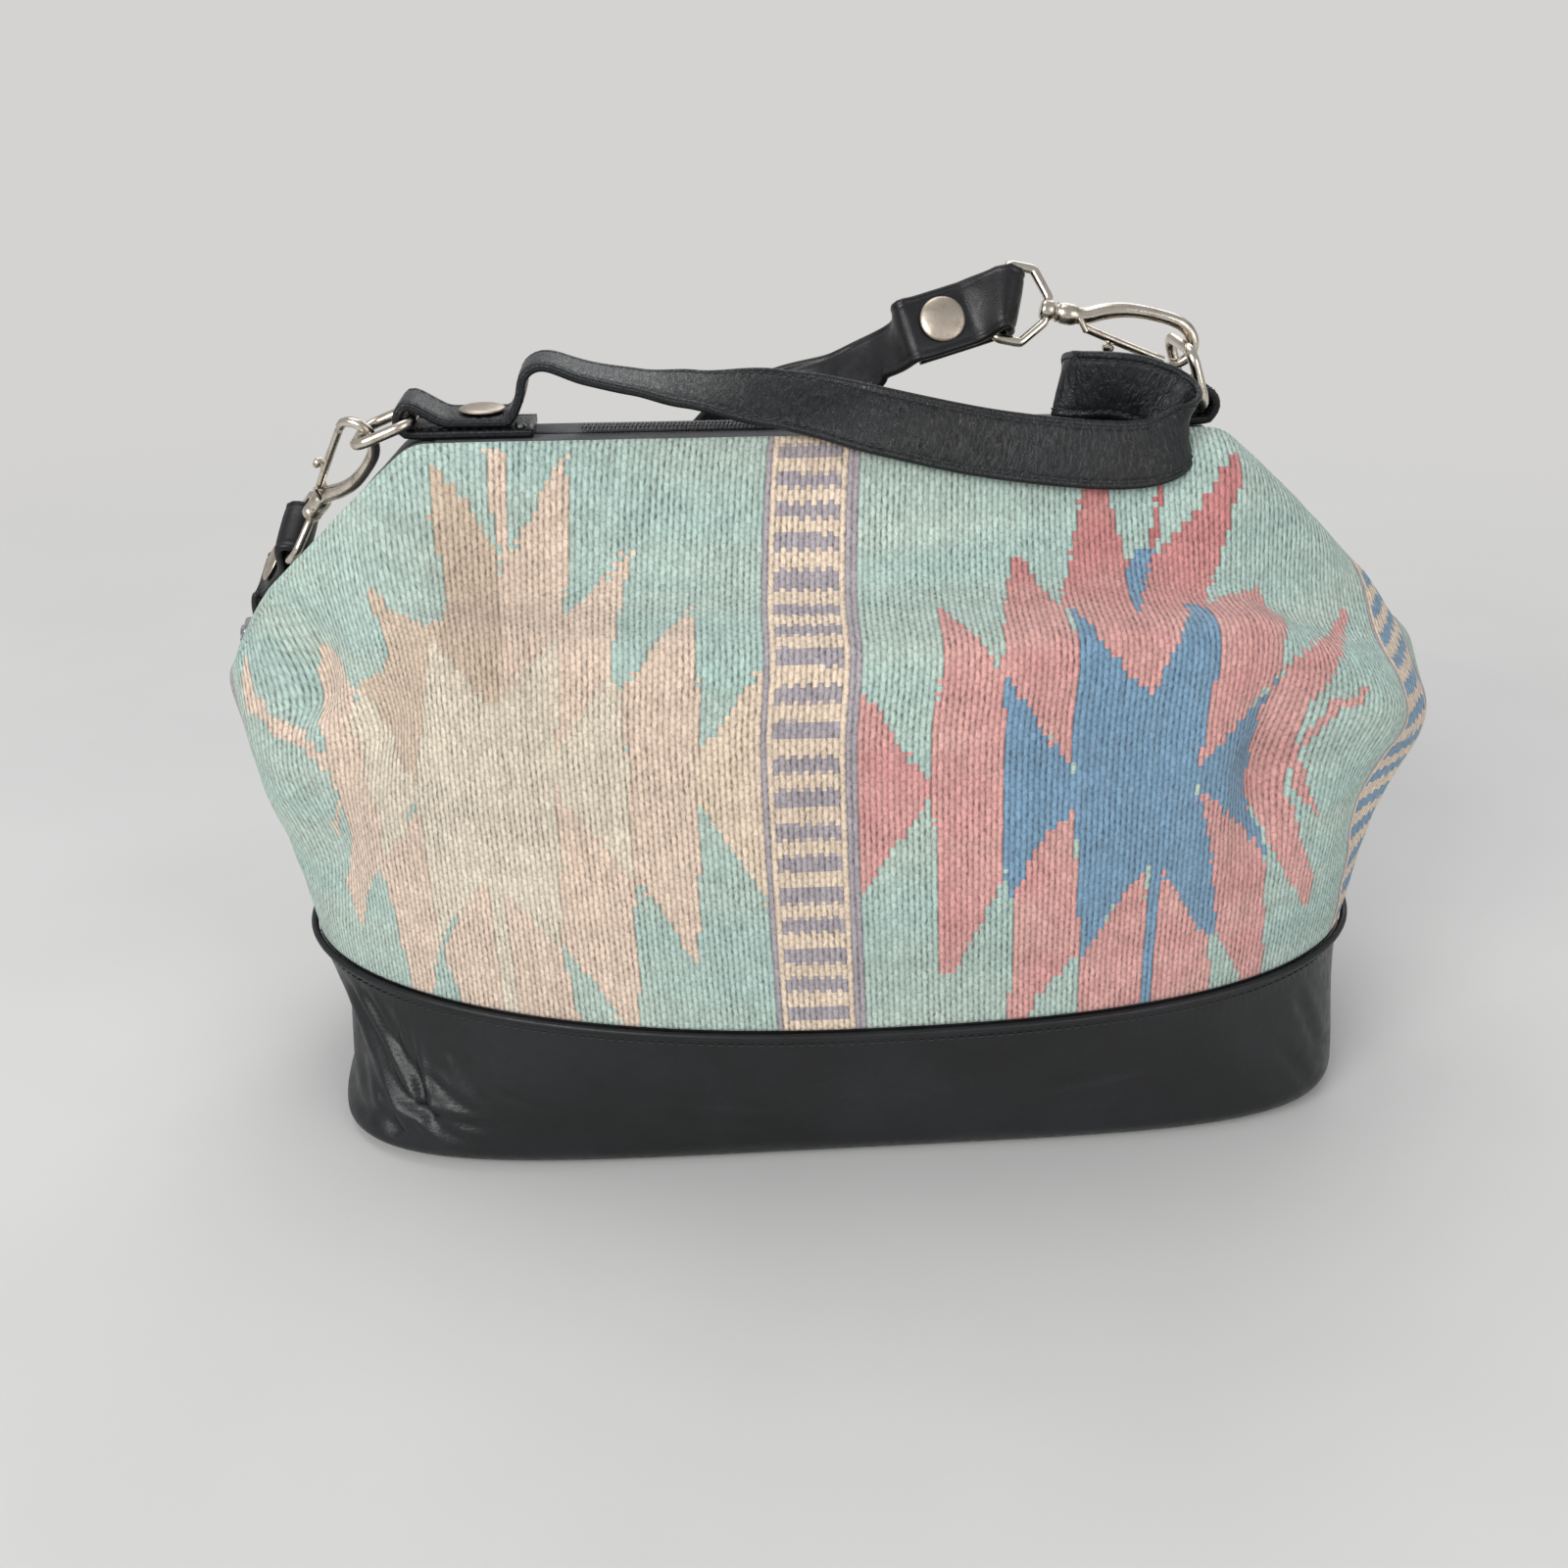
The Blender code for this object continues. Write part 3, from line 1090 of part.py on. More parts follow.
def set_origins(seats, hook_places):
    hinge = Vector((0, 0, HINGE_Z))
    for half in ("front", "rear"):
        for piece in ("_channel", "_frame_rod", "_zip_tape", "_zip_coil"):
            move_origin(half + piece, hinge)
    for name in ("handle_strap", "left_handle_cap", "right_handle_cap", "left_handle_rivet", "right_handle_rivet"):
        move_origin(name, hinge)
    bridge = Vector((SLIDER_REST_X, 0, BRIDGE_Z + PULL_PIVOT_RISE))
    move_origin("zip_slider", bridge)
    move_origin("zip_pull", bridge)
    for word, loop in (("left", LEFT_LOOP), ("right", RIGHT_LOOP)):
        move_origin(word + "_ring", loop)
        move_origin(word + "_hook", seats[word])
        move_origin(word + "_gate", gate_pivot(hook_places[word]))
        move_origin(word + "_swivel_loop", hook_places[word].translation.copy())


def build():
    build_body()
    build_base()
    lug = LUG_THICKNESS
    build_frame("front", -1, HINGE_X + GAP / 2, HINGE_X + lug)
    build_frame("rear", 1, HINGE_X - lug, HINGE_X - GAP / 2)
    build_hinge_pins()
    build_zip()
    build_handle()
    build_fittings()


build()
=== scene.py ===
"""Kilim satchel bag on a black leather base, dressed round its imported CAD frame.

Metres, +Z up. X runs along the bag, the front faces -Y and it stands on Z = 0.
"""
import bisect
import functools
import math
import random

import bmesh
import bpy
from mathutils import Matrix, Vector, noise


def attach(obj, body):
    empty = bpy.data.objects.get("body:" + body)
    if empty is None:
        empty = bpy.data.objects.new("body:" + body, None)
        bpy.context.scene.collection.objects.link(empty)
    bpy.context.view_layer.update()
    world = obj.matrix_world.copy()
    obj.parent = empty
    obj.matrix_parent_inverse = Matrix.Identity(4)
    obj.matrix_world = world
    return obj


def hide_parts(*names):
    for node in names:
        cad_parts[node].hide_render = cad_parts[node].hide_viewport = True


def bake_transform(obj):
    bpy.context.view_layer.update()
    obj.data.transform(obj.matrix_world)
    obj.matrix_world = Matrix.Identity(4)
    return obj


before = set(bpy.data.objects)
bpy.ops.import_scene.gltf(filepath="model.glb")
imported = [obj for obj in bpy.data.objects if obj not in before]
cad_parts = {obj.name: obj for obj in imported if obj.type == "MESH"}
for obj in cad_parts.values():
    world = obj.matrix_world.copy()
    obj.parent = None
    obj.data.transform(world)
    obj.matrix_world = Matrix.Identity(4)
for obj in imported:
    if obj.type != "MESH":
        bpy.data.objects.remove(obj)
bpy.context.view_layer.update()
MM = 0.001


# Studio: a pale tabletop of primed board that runs on out of sight, under soft daylight from a
# window in front and to the left, with the camera where the photograph was taken from.


def linear(code):
    """An sRGB hex colour as the linear colour that Blender works in."""
    shares = [int(code[start:start + 2], 16) / 255 for start in (1, 3, 5)]
    return [s / 12.92 if s <= 0.04045 else ((s + 0.055) / 1.055)**2.4 for s in shares] + [1.0]


def new_finish(name):
    """A material with its nodes on."""
    finish = bpy.data.materials.new(name)
    finish.use_nodes = True
    return finish


def feed(finish, node, inputs):
    """Set a node's inputs: to a value, or joined to another node's output."""
    for socket, value in inputs.items():
        if isinstance(value, bpy.types.NodeSocket):
            finish.node_tree.links.new(value, node.inputs[socket])
        else:
            node.inputs[socket].default_value = value


def add(finish, kind, inputs=None, **settings):
    """A shader node with its settings and inputs."""
    node = finish.node_tree.nodes.new("ShaderNode" + kind)
    for name, value in settings.items():
        setattr(node, name, value)
    feed(finish, node, inputs or {})
    return node


def own_place(finish):
    """Where a point is on its own piece, in metres."""
    return add(finish, "TexCoord").outputs["Object"]


def surface(finish, **inputs):
    """Set the finish's own shader, its sockets named with _ for a space."""
    shader = finish.node_tree.nodes["Principled BSDF"]
    feed(finish, shader, {name.replace("_", " "): value for name, value in inputs.items()})


def placed(name, data):
    """A new object in the scene, at the origin."""
    thing = bpy.data.objects.new(name, data)
    bpy.context.scene.collection.objects.link(thing)
    return thing


camera_data = bpy.data.cameras.new("camera")
camera_data.sensor_width = 36
camera_data.lens = 36.09
camera = placed("camera", camera_data)
camera.location = (-0.0517, -0.4945, 0.353)
camera.rotation_euler = (math.radians(63), 0, math.radians(-4.4))
bpy.context.scene.camera = camera

bpy.ops.mesh.primitive_plane_add(size=60, location=(0, 0, -0.0004))
floor = bpy.context.object
floor.name = "floor"
# Primed board: matt and nearly white, with a faint unevenness, fading into the plain background
BACKGROUND = "#d4d3d1"
board_white = new_finish("primed_white_board")
place = own_place(board_white)
cloudy = add(board_white, "TexNoise", {"Vector": place, "Scale": 9.0, "Detail": 2.0}).outputs["Fac"]
tone = add(board_white, "MixRGB", {"Fac": cloudy, "Color1": linear("#cacac8"), "Color2": linear("#d3d3d1")})
surface(board_white, Base_Color=tone.outputs["Color"], Roughness=0.85)
away = add(board_white, "VectorMath", {0: place}, operation="LENGTH").outputs["Value"]
away = add(board_white, "MapRange", {0: away, 1: 0.4, 2: 1.1, 3: 0.0, 4: 1.0},
           interpolation_type="SMOOTHSTEP").outputs[0]
ray = add(board_white, "LightPath")
seen = add(board_white, "Math", {0: ray.outputs["Is Camera Ray"], 1: ray.outputs["Is Glossy Ray"]}, operation="MAXIMUM")
seen = add(board_white, "Math", {0: seen.outputs[0], 1: ray.outputs["Is Transmission Ray"]}, operation="MAXIMUM")
share = add(board_white, "Math", {0: seen.outputs[0], 1: away}, operation="MULTIPLY").outputs[0]
plain = add(board_white, "Emission", {"Color": linear(BACKGROUND), "Strength": 1.0}).outputs[0]
lit_board = board_white.node_tree.nodes["Principled BSDF"].outputs[0]
both = add(board_white, "MixShader", {0: share, 1: lit_board, 2: plain}).outputs[0]
feed(board_white, board_white.node_tree.nodes["Material Output"], {"Surface": both})
floor.data.materials.append(board_white)


def soft_light(name, place, aim_height, size, power):
    """A round soft light that faces a point over the middle of the floor."""
    lamp = bpy.data.lights.new(name, "AREA")
    lamp.shape = "DISK"
    lamp.size = size
    lamp.energy = power
    light = placed(name, lamp)
    light.location = place
    light.rotation_euler = (Vector((0, 0, aim_height)) - Vector(place)).to_track_quat("-Z", "Y").to_euler()


soft_light("window_light", (-1.2, -1.4, 1.1), 0.1, 1.3, 28)
soft_light("room_light", (1.1, -1.4, 0.7), 0.1, 1.4, 9.5)
soft_light("top_light", (-0.3, 0.5, 1.7), 0.15, 1.2, 7)
soft_light("back_light", (0.6, 1.6, 1.2), 0.1, 1.4, 9)
daylight = bpy.data.worlds.new("daylight")
bpy.context.scene.world = daylight
daylight.use_nodes = True
sky = daylight.node_tree.nodes["Background"]
sky.inputs["Color"].default_value = linear("#e6e8ea")
sky.inputs["Strength"].default_value = 0.56
plain_sky = add(daylight, "Background", {"Color": linear(BACKGROUND), "Strength": 1.0})
sky_ray = add(daylight, "LightPath")
sky_seen = add(daylight, "Math", {0: sky_ray.outputs["Is Camera Ray"], 1: sky_ray.outputs["Is Transmission Ray"]},
               operation="MAXIMUM")
either = add(daylight, "MixShader", {0: sky_seen.outputs[0], 1: sky.outputs[0], 2: plain_sky.outputs[0]}).outputs[0]
feed(daylight, daylight.node_tree.nodes["World Output"], {"Surface": either})
bpy.context.scene.view_settings.view_transform = "Standard"


# Kilim body: two panels of slit-woven wool rug cloth, front and rear, sewn together down the ends,
# to the leather base below and to the hinged frame above. The cloth stands up as a straight wall,
# rounds over a soft shoulder to the frame, and bulges and folds at both ends.
RIM_CENTRE = 4 * MM
RIM_HALF_LENGTH = 184 * MM
RIM_HALF_DEPTH = 91 * MM
RIM_FULLNESS = {-1: 2.05, 1: 2.5}
BASE_HEIGHT = 59 * MM
CLOTH_THICKNESS = 2.8 * MM
CLOTH_HALF_WIDTH = 224
FRAME_CENTRE = -4 * MM
HINGE_X = 184 * MM
FRAME_END_Z = 168 * MM
FRAME_HALF_TOP = 127 * MM
FRAME_TOP = 226 * MM
FRAME_CORNER = 16 * MM
CHANNEL_OUTER = 13 * MM
CLOTH_TOP_Y = CHANNEL_OUTER + CLOTH_THICKNESS + 0.3 * MM
BULGE = {-1: 15 * MM, 1: 19 * MM}


def smoothstep(low, high, value):
    """0 below the low value and 1 above the high one, with a soft rise between them."""
    t = min(max((value - low) / (high - low), 0.0), 1.0)
    return t * t * (3 - 2 * t)


def lengths_along(points):
    """How far along a line each of its points is."""
    lengths = [0.0]
    for a, b in zip(points, points[1:]):
        lengths.append(lengths[-1] + (b - a).length)
    return lengths


@functools.lru_cache(maxsize=None)
def oval_line(half_length, half_depth, fullness):
    """A quarter of a full oval from the middle of its front to its end, with the distances along it."""
    points = []
    for step in range(241):
        angle = math.pi / 2 * step / 240
        across = half_length * math.sin(angle)**(2 / fullness)
        points.append(Vector((across, -half_depth * math.cos(angle)**(2 / fullness))))
    return points, lengths_along(points)


def along_line(points, lengths, target):
    """The point this far along a line, and the piece of the line that it is on."""
    index = min(max(bisect.bisect_right(lengths, target) - 1, 0), len(points) - 2)
    share = (target - lengths[index]) / (lengths[index + 1] - lengths[index])
    return points[index].lerp(points[index + 1], share), index


def oval(u, half_length, half_depth, fullness):
    """The front half of an oval and its outward side: u from -1 at the left end to 1 at the right."""
    points, lengths = oval_line(half_length, half_depth, fullness)
    place, index = along_line(points, lengths, min(abs(u), 1.0) * lengths[-1])
    way = (points[min(index + 4, len(points) - 1)] - points[max(index - 3, 0)]).normalized()
    out = Vector((way.y, -way.x)) if 0 < abs(u) < 1 else Vector((abs(u), abs(u) - 1))
    side = -1 if u < 0 else 1
    return Vector((place.x * side + RIM_CENTRE, place.y)), Vector((out.x * side, out.y))


def rim_oval(u):
    """The outline of the base's rim and its outward side."""
    return oval(u, RIM_HALF_LENGTH, RIM_HALF_DEPTH, RIM_FULLNESS[-1 if u < 0 else 1])


def frame_line(inset, past_hinge, steps=5):
    """Right half of the frame's line in XZ, from the middle of the top down past the hinge."""
    slope = Vector((HINGE_X - FRAME_HALF_TOP, FRAME_END_Z - FRAME_TOP)).normalized()
    turn = math.atan2(-slope.y, slope.x)
    centre = Vector((FRAME_HALF_TOP - FRAME_CORNER * math.tan(turn / 2), FRAME_TOP - FRAME_CORNER))
    line = [Vector((0, FRAME_TOP - inset))]
    for step in range(steps + 1):
        angle = turn * step / steps
        line.append(centre + Vector((math.sin(angle), math.cos(angle))) * (FRAME_CORNER - inset))
    normal = Vector((-slope.y, slope.x))
    line.append(Vector((HINGE_X, FRAME_END_Z)) - normal * inset + slope * past_hinge)
    return line


# How far the wool's top edge goes past the hinge at each end, and how far below the frame's end
PAST_HINGE = {-1: (5.5 * MM, 14 * MM), 1: (11.5 * MM, 11 * MM)}


@functools.lru_cache(maxsize=None)
def cloth_top_line(side):
    """The wool's top edge on one side as points, with the distances along them."""
    reach, drop = PAST_HINGE[side]
    line = [Vector((p.x, -CLOTH_TOP_Y, p.y)) for p in frame_line(5.5 * MM, 2 * MM)]
    line.append(Vector((HINGE_X + reach - 1 * MM, -CLOTH_TOP_Y * 0.62, FRAME_END_Z - drop + 1 * MM)))
    line.append(Vector((HINGE_X + reach, 0, FRAME_END_Z - drop)))
    return line, lengths_along(line)


def cloth_top(u):
    """The cloth's top edge, along the frame and round the hinge."""
    side = -1 if u < 0 else 1
    line, lengths = cloth_top_line(side)
    place, _ = along_line(line, lengths, abs(u) * lengths[-1])
    return Vector((place.x * side + FRAME_CENTRE, place.y, place.z))


# Folds: middle along, middle up, half widths, and depth, where a positive one is pressed in
FOLDS = [
    (-0.68, 0.60, 0.07, 0.11, 6 * MM), (-0.88, 0.55, 0.07, 0.12, -3 * MM), (-0.78, 0.79, 0.055, 0.10, 9 * MM),
    (-0.90, 0.74, 0.07, 0.13, -3 * MM), (-0.62, 0.86, 0.06, 0.10, -3 * MM),
    (-0.80, 0.34, 0.07, 0.16, 5 * MM), (0.56, 0.40, 0.05, 0.12, 9 * MM), (0.54, 0.72, 0.12, 0.06, 6 * MM),
    (0.72, 0.58, 0.10, 0.08, -5 * MM), (0.60, 0.93, 0.14, 0.08, -9 * MM), (0.80, 0.36, 0.07, 0.16, 5 * MM),
    (0.92, 0.60, 0.06, 0.14, -4 * MM), (-0.30, 0.30, 0.22, 0.18, -2 * MM), (0.25, 0.30, 0.20, 0.18, -2 * MM)]
MIDDLE_SECTION = [(0, 0), (0, 0.19), (0.01, 0.40), (0.01, 0.62), (0.02, 0.81), (0.38, 0.79), (0.72, 0.90), (1, 1)]
END_SECTION = {-1: [(0, 0), (0, 0.17), (0, 0.38), (0.05, 0.58), (0.3, 0.75), (0.6, 0.87), (0.9, 0.95), (1, 1)],
               1: [(0, 0), (0, 0.17), (0, 0.38), (0, 0.60), (0.1, 0.80), (0.4, 0.93), (0.7, 0.98), (1, 1)]}
BULGE_SHARES = {-1: [0, 0.15, 0.45, 0.62, 0.64, 0.48, 0.35, 0], 1: [0, 0.15, 0.45, 0.80, 0.95, 0.6, 0.3, 0]}
# The cloth's shape is worked out on this many sections from the middle to each end
SECTIONS = 200


def spline_point(controls, t):
    """A point on the clamped cubic B-spline of these controls."""
    spans = len(controls) - 3
    knots = [0.0] * 4 + [float(k) for k in range(1, spans)] + [float(spans)] * 4
    place = min(t * spans, spans - 1e-9)
    low = int(place)
    work = [controls[low + k].copy() for k in range(4)]
    for level in range(1, 4):
        for k in range(3, level - 1, -1):
            left = knots[low + k]
            share = (place - left) / (knots[low + k + 4 - level] - left)
            work[k] = work[k - 1].lerp(work[k], share)
    return work[3]


@functools.lru_cache(maxsize=None)
def body_section(u):
    """The cloth's section at u, as points up its outer side and their distances along it."""
    rim, out = rim_oval(u)
    start = Vector((rim.x, rim.y, BASE_HEIGHT + 0.3 * MM))
    end = cloth_top(u)
    rim_out = Vector((out.x, out.y, 0))
    share = smoothstep(0.45, 1.0, abs(u))
    side = -1 if u < 0 else 1
    bulge = BULGE[side] * smoothstep(0.5, 1.0, abs(u))
    controls = []
    for middle, tip, swell in zip(MIDDLE_SECTION, END_SECTION[side], BULGE_SHARES[side]):
        place = start.lerp(end, middle[0] + (tip[0] - middle[0]) * share)
        place.z = start.z + (end.z - start.z) * (middle[1] + (tip[1] - middle[1]) * share)
        controls.append(place + rim_out * bulge * swell)
    points = [spline_point(controls, step / 80) for step in range(81)]
    return points, lengths_along(points)


def section_point(step, v):
    """The cloth's outer surface on one of its evenly spaced sections."""
    u = step / SECTIONS
    points, lengths = body_section(u)
    place, _ = along_line(points, lengths, v * lengths[-1])
    way = smoothstep(0.35, 0.98, abs(u)) * math.pi / 2
    lean = Vector((math.copysign(math.sin(way), u), -math.cos(way), 0))
    push = 0.0
    for mid_u, mid_v, wide_u, wide_v, depth in FOLDS:
        far = ((u - mid_u) / wide_u)**2 + ((v - mid_v) / wide_v)**2
        if far < 9:
            push += depth * math.exp(-far)
    push *= min(1.0, v * 6, (1 - v) * 6) * min(1.0, (1 - abs(u)) * 12)
    inward = -(lean * 0.8 + Vector((0, 0, 0.6 * smoothstep(0.5, 0.8, v))))
    return place + inward.normalized() * push


def puff(u, v, rear):
    """How the wool swells up over the frame's edge before it goes down to its seam there."""
    side = smoothstep(0.5, 0.72, abs(u))
    end = smoothstep(0.8, 1.0, abs(u))
    size = (7 - 3 * side if rear else 13 - 1.5 * side) * (1 - end) + (1 if u < 0 else 3) * end
    size *= smoothstep(0.74, 0.955, v) * (1 - smoothstep(0.97, 1.0, v))
    return Vector((math.copysign(0.45 * side * (1 - 0.6 * end), u), 0.22 * (1 - end), 0.95)).normalized() * size * MM


def body_point(u, v):
    """The cloth's outer surface on the front: v from 0 at the base to 1 at the frame."""
    low = min(math.floor(u * SECTIONS), SECTIONS - 1)
    return section_point(low, v).lerp(section_point(low + 1, v), u * SECTIONS - low)


# The rug's traditional pattern, as flat shapes in millimetres along and up the cloth: a barred stripe
# in the middle, a spiked star with its wings on each side, each laid over the ones before it
WOOLS = {"mint": "#b2c2b7", "peach": "#dac3b0", "soiled_peach": "#cbb6a1", "beige": "#d8ccb8", "rose": "#d29b95",
         "dark_rose": "#d09893", "blue": "#7596b0", "tan": "#dec9b3", "lavender": "#a39ba0", "red": "#cc8683"}
MOTIFS = [
    ("dark_rose", [(-4, 119), (17, 86), (18, 83), (17, 80), (-1, 50)]),
    ("rose", [(24, 150), (38, 115), (41, 55), (35, 37), (27, 18), (24, 18), (19, 77), (18, 83), (18, 105)]),
    ("rose", [(52, 174), (60, 144), (59, 88), (48, 103), (38, 117), (36, 117), (45, 152)]),
    ("rose", [(60, 76), (67, 24), (55, 9), (51, 0), (46, 0), (44, 49), (51, 66)]),
    ("rose", [(68, 0), (67, 22), (84, 53), (90, 25), (90, 0)]),
    ("rose", [(88, 53), (111, 22), (114, 0), (92, 0), (90, 25)]),
    ("dark_rose", [(100, 77), (106, 71), (120, 58), (129, 48), (133, 17), (135, 0), (126, 0), (113, 23), (105, 54)]),
    ("rose", [(76, 201), (82, 200), (83, 185), (85, 159), (82, 139), (81, 109), (67, 124), (60, 146), (68, 169),
      (74, 186)]),
    ("rose", [(123, 190), (123, 185), (114, 161), (105, 137), (99, 139), (90, 125), (81, 109), (82, 136), (91, 161),
      (104, 173)]),
    ("rose", [(104, 137), (128, 152), (129, 139), (133, 134), (124, 118), (124, 109), (110, 93), (99, 83),
      (101, 117)]),
    ("rose", [(162, 137), (162, 131), (143, 112), (135, 96), (135, 85), (135, 70), (142, 50), (153, 31), (151, 20),
      (134, 44), (128, 58), (120, 67), (122, 79), (121, 97), (124, 109), (139, 122)]),
    ("dark_rose", [(154, 102), (152, 98), (145, 95), (138, 85), (138, 79), (142, 68), (150, 55), (146, 57), (138, 69),
      (135, 79), (137, 87), (142, 99)]),
    ("blue", [(38, 119), (48, 103), (60, 86), (62, 76), (51, 66), (44, 45), (41, 55), (38, 91)]),
    ("blue", [(62, 146), (67, 124), (81, 109), (90, 125), (99, 140), (104, 137), (102, 117), (100, 99), (99, 84),
      (99, 77), (106, 59), (114, 22), (110, 21), (97, 41), (87, 54), (75, 38), (67, 20), (61, 75), (58, 103)]),
    ("blue", [(89, 168), (94, 167), (83, 139), (81, 109), (82, 140), (83, 158)]),
    ("blue", [(124, 110), (121, 97), (124, 78), (122, 67), (127, 57), (131, 45), (120, 58), (106, 71), (99, 77),
      (99, 84), (110, 94), (121, 102)]),
    ("red", [(101, 196), (103, 196), (94, 166), (92, 166)]),
    ("blue", [(87, 54), (90, 52), (93, 0), (90, 0)]),
    ("peach", [(-102, 195), (-95, 196), (-99, 167), (-102, 167)]),
    ("soiled_peach", [(-118, 187), (-109, 179), (-102, 167), (-102, 139), (-126, 133), (-121, 140), (-118, 162),
      (-121, 170)]),
    ("peach", [(-76, 200), (-78, 195), (-80, 168), (-85, 141), (-104, 137), (-101, 166), (-96, 168), (-86, 186)]),
    ("peach", [(-59, 177), (-62, 170), (-68, 146), (-74, 119), (-70, 115), (-75, 119), (-86, 103), (-92, 89),
      (-108, 110), (-104, 139), (-84, 143), (-70, 162)]),
    ("soiled_peach", [(-149, 150), (-139, 146), (-126, 135), (-104, 139), (-108, 110), (-139, 75), (-148, 87),
      (-159, 109), (-151, 117), (-145, 126), (-146, 137)]),
    ("peach", [(-46, 151), (-47, 148), (-50, 93), (-49, 85), (-51, 23), (-59, 39), (-68, 53), (-74, 58), (-70, 89),
      (-71, 115), (-63, 125)]),
    ("tan", [(-30, 123), (-30, 119), (-29, 46), (-43, 71), (-51, 85), (-52, 93), (-41, 108)]),
    ("peach", [(-174, 120), (-166, 122), (-164, 112), (-159, 108), (-163, 93), (-159, 76), (-153, 65), (-154, 48),
      (-165, 32), (-170, 16), (-178, 33), (-170, 52), (-169, 67), (-173, 88), (-178, 100), (-178, 110)]),
    ("peach", [(-135, 75), (-137, 53), (-137, 22), (-142, 0), (-150, 0), (-153, 29), (-156, 46), (-146, 60)]),
    ("peach", [(-92, 90), (-91, 80), (-78, 65), (-70, 56), (-70, 36), (-70, 0), (-76, 1), (-85, 16), (-92, 26),
      (-94, 27), (-92, 66)]),
    ("peach", [(-117, 49), (-106, 40), (-94, 27), (-90, 0), (-130, 0), (-136, 19), (-127, 36)]),
    ("beige", [(-75, 120), (-71, 114), (-70, 89), (-70, 55), (-78, 65), (-91, 80), (-93, 90), (-86, 103)]),
    ("beige", [(-129, 128), (-118, 116), (-110, 107), (-99, 119), (-87, 131), (-92, 90), (-92, 66), (-94, 26),
      (-106, 40), (-117, 49), (-127, 36), (-138, 20), (-137, 54), (-139, 76), (-133, 107)]),
    ("beige", [(-158, 109), (-148, 87), (-138, 77), (-145, 59), (-154, 48), (-153, 65), (-159, 76), (-163, 93)]),
    ("beige", [(-117, 49), (-112, 48), (-110, 0), (-116, 0)]),
    ("peach", [(-196, 99), (-195, 89), (-178, 85), (-169, 77), (-167, 67), (-177, 50), (-180, 52), (-170, 65),
      (-172, 73), (-180, 81), (-202, 83), (-200, 95)]),
]
BOXED_MOTIFS = [
    (wool, shape, min(x for x, _ in shape), max(x for x, _ in shape), min(y for _, y in shape),
     max(y for _, y in shape))
    for wool, shape in MOTIFS]
RIB = 1.75
ROWS_UP = 160
BEAD = 3.1


def inside(shape, x, y):
    """Whether a point is within a flat shape, by crossings."""
    found = False
    for (ax, ay), (bx, by) in zip(shape, shape[1:] + shape[:1]):
        if (ay > y) != (by > y) and x < (bx - ax) * (y - ay) / (by - ay) + ax:
            found = not found
    return found


def bow(up):
    """How far the middle stripe leans to the left of the panel's middle at this height."""
    return -18.2 + 17 * max(0, (up - 100) / 105)**1.5 + 5 * max(0, (100 - up) / 100)**1.3


def stripe_wool(lane, up):
    """The barred stripe, by its rib from the left: lavender outlines, tan lines and bars between them."""
    if lane in (0, 14, 15):
        return "lavender"
    if lane in (1, 13):
        return "tan"
    return "lavender" if (up + 0.4 * (-1)**lane - 3.7) % 10.84 < 5.4 else "tan"


def wool_at(lane_x, x, up):
    """The wool that shows at a place on the cloth, found in the stripes by the rib it falls in."""
    lane = math.floor((lane_x + 13 + 14) / RIB)
    if 0 <= lane < 16:
        return stripe_wool(lane, up - 9.2 * math.exp(-((up - 177) / 20)**2))
    for middle in (-224, 187):
        lane = math.floor((x - middle + 14) / RIB)
        if 0 <= lane < 16:
            wool = stripe_wool(lane, up)
            return "blue" if wool == "lavender" and 1 < lane < 13 else wool
    stagger = 0.5 * (round(lane_x / RIB) % 2)
    up = (math.floor(up / BEAD + stagger) + 0.5 - stagger) * BEAD
    found = "mint"
    for wool, shape, low_x, high_x, low_up, high_up in BOXED_MOTIFS:
        if low_x < x < high_x and low_up < up < high_up and inside(shape, x, up):
            found = wool
    return found


def wool_colour(wool, x, up, wander):
    """The wool's colour with its dye bands, fading, the soiling on the upper left star and a brown darkening along the
    top edge.
    """
    colour = Vector(linear(WOOLS[wool])[:3])
    band = noise.noise(Vector((x / 90, up / 7, 3.1)))
    patch = noise.noise(Vector((x / 38, up / 34, 9.7)))
    colour *= 1.0 + 0.08 * band + 0.09 * patch + wander
    if wool == "mint":
        cool = 0.4 + 0.8 * noise.noise(Vector((x / 60, up / 14, 21.3)))
        colour = colour.lerp(Vector((colour.x * 0.86, colour.y * 0.98, colour.z * 1.02)), cool)
    if wool in ("rose", "dark_rose", "red"):
        deep = smoothstep(120, 185, up)
        colour = Vector((colour.x * (1 - 0.2 * deep), colour.y * (1 - 0.38 * deep), colour.z * (1 - 0.36 * deep)))
        worn = noise.noise(Vector((x / 16, up / 9, 5.5)))
        colour = colour.lerp(Vector((0.62, 0.24, 0.23)) if worn < 0 else Vector((0.74, 0.47, 0.40)), 0.4 * abs(worn))
    soil_and_top_band = 0.62 * math.exp(-((x + 113) / 26)**2 - ((up - 140) / 30)**2)
    soil_and_top_band += 0.18 * math.exp(-((x + 88) / 30)**2 - ((up - 80) / 45)**2)
    # A brown darkening in a band right along the top edge, under the frame's channel
    soil_and_top_band += 0.25 * math.exp(-((x - 20) / 160)**2 - ((up - 205) / 12)**2)
    soil_and_top_band *= 0.75 + 0.6 * noise.noise(Vector((x / 9, up / 8, 1.7)))
    return colour.lerp(Vector((0.27, 0.185, 0.125)), min(max(soil_and_top_band, 0), 0.7) * 0.55)


def flat_place(x, up):
    """Where a point is on the flat cloth, with the length that its puff over the frame takes up."""
    end = smoothstep(100, 150, abs(x))
    aside = 5 * smoothstep(120, 150, -x) * (1 - smoothstep(185, 205, -x)) * smoothstep(90, 130, up)
    return x - aside, up + (10 + 2 * end) * smoothstep(137 - 45 * end, 180 - 45 * end, up)


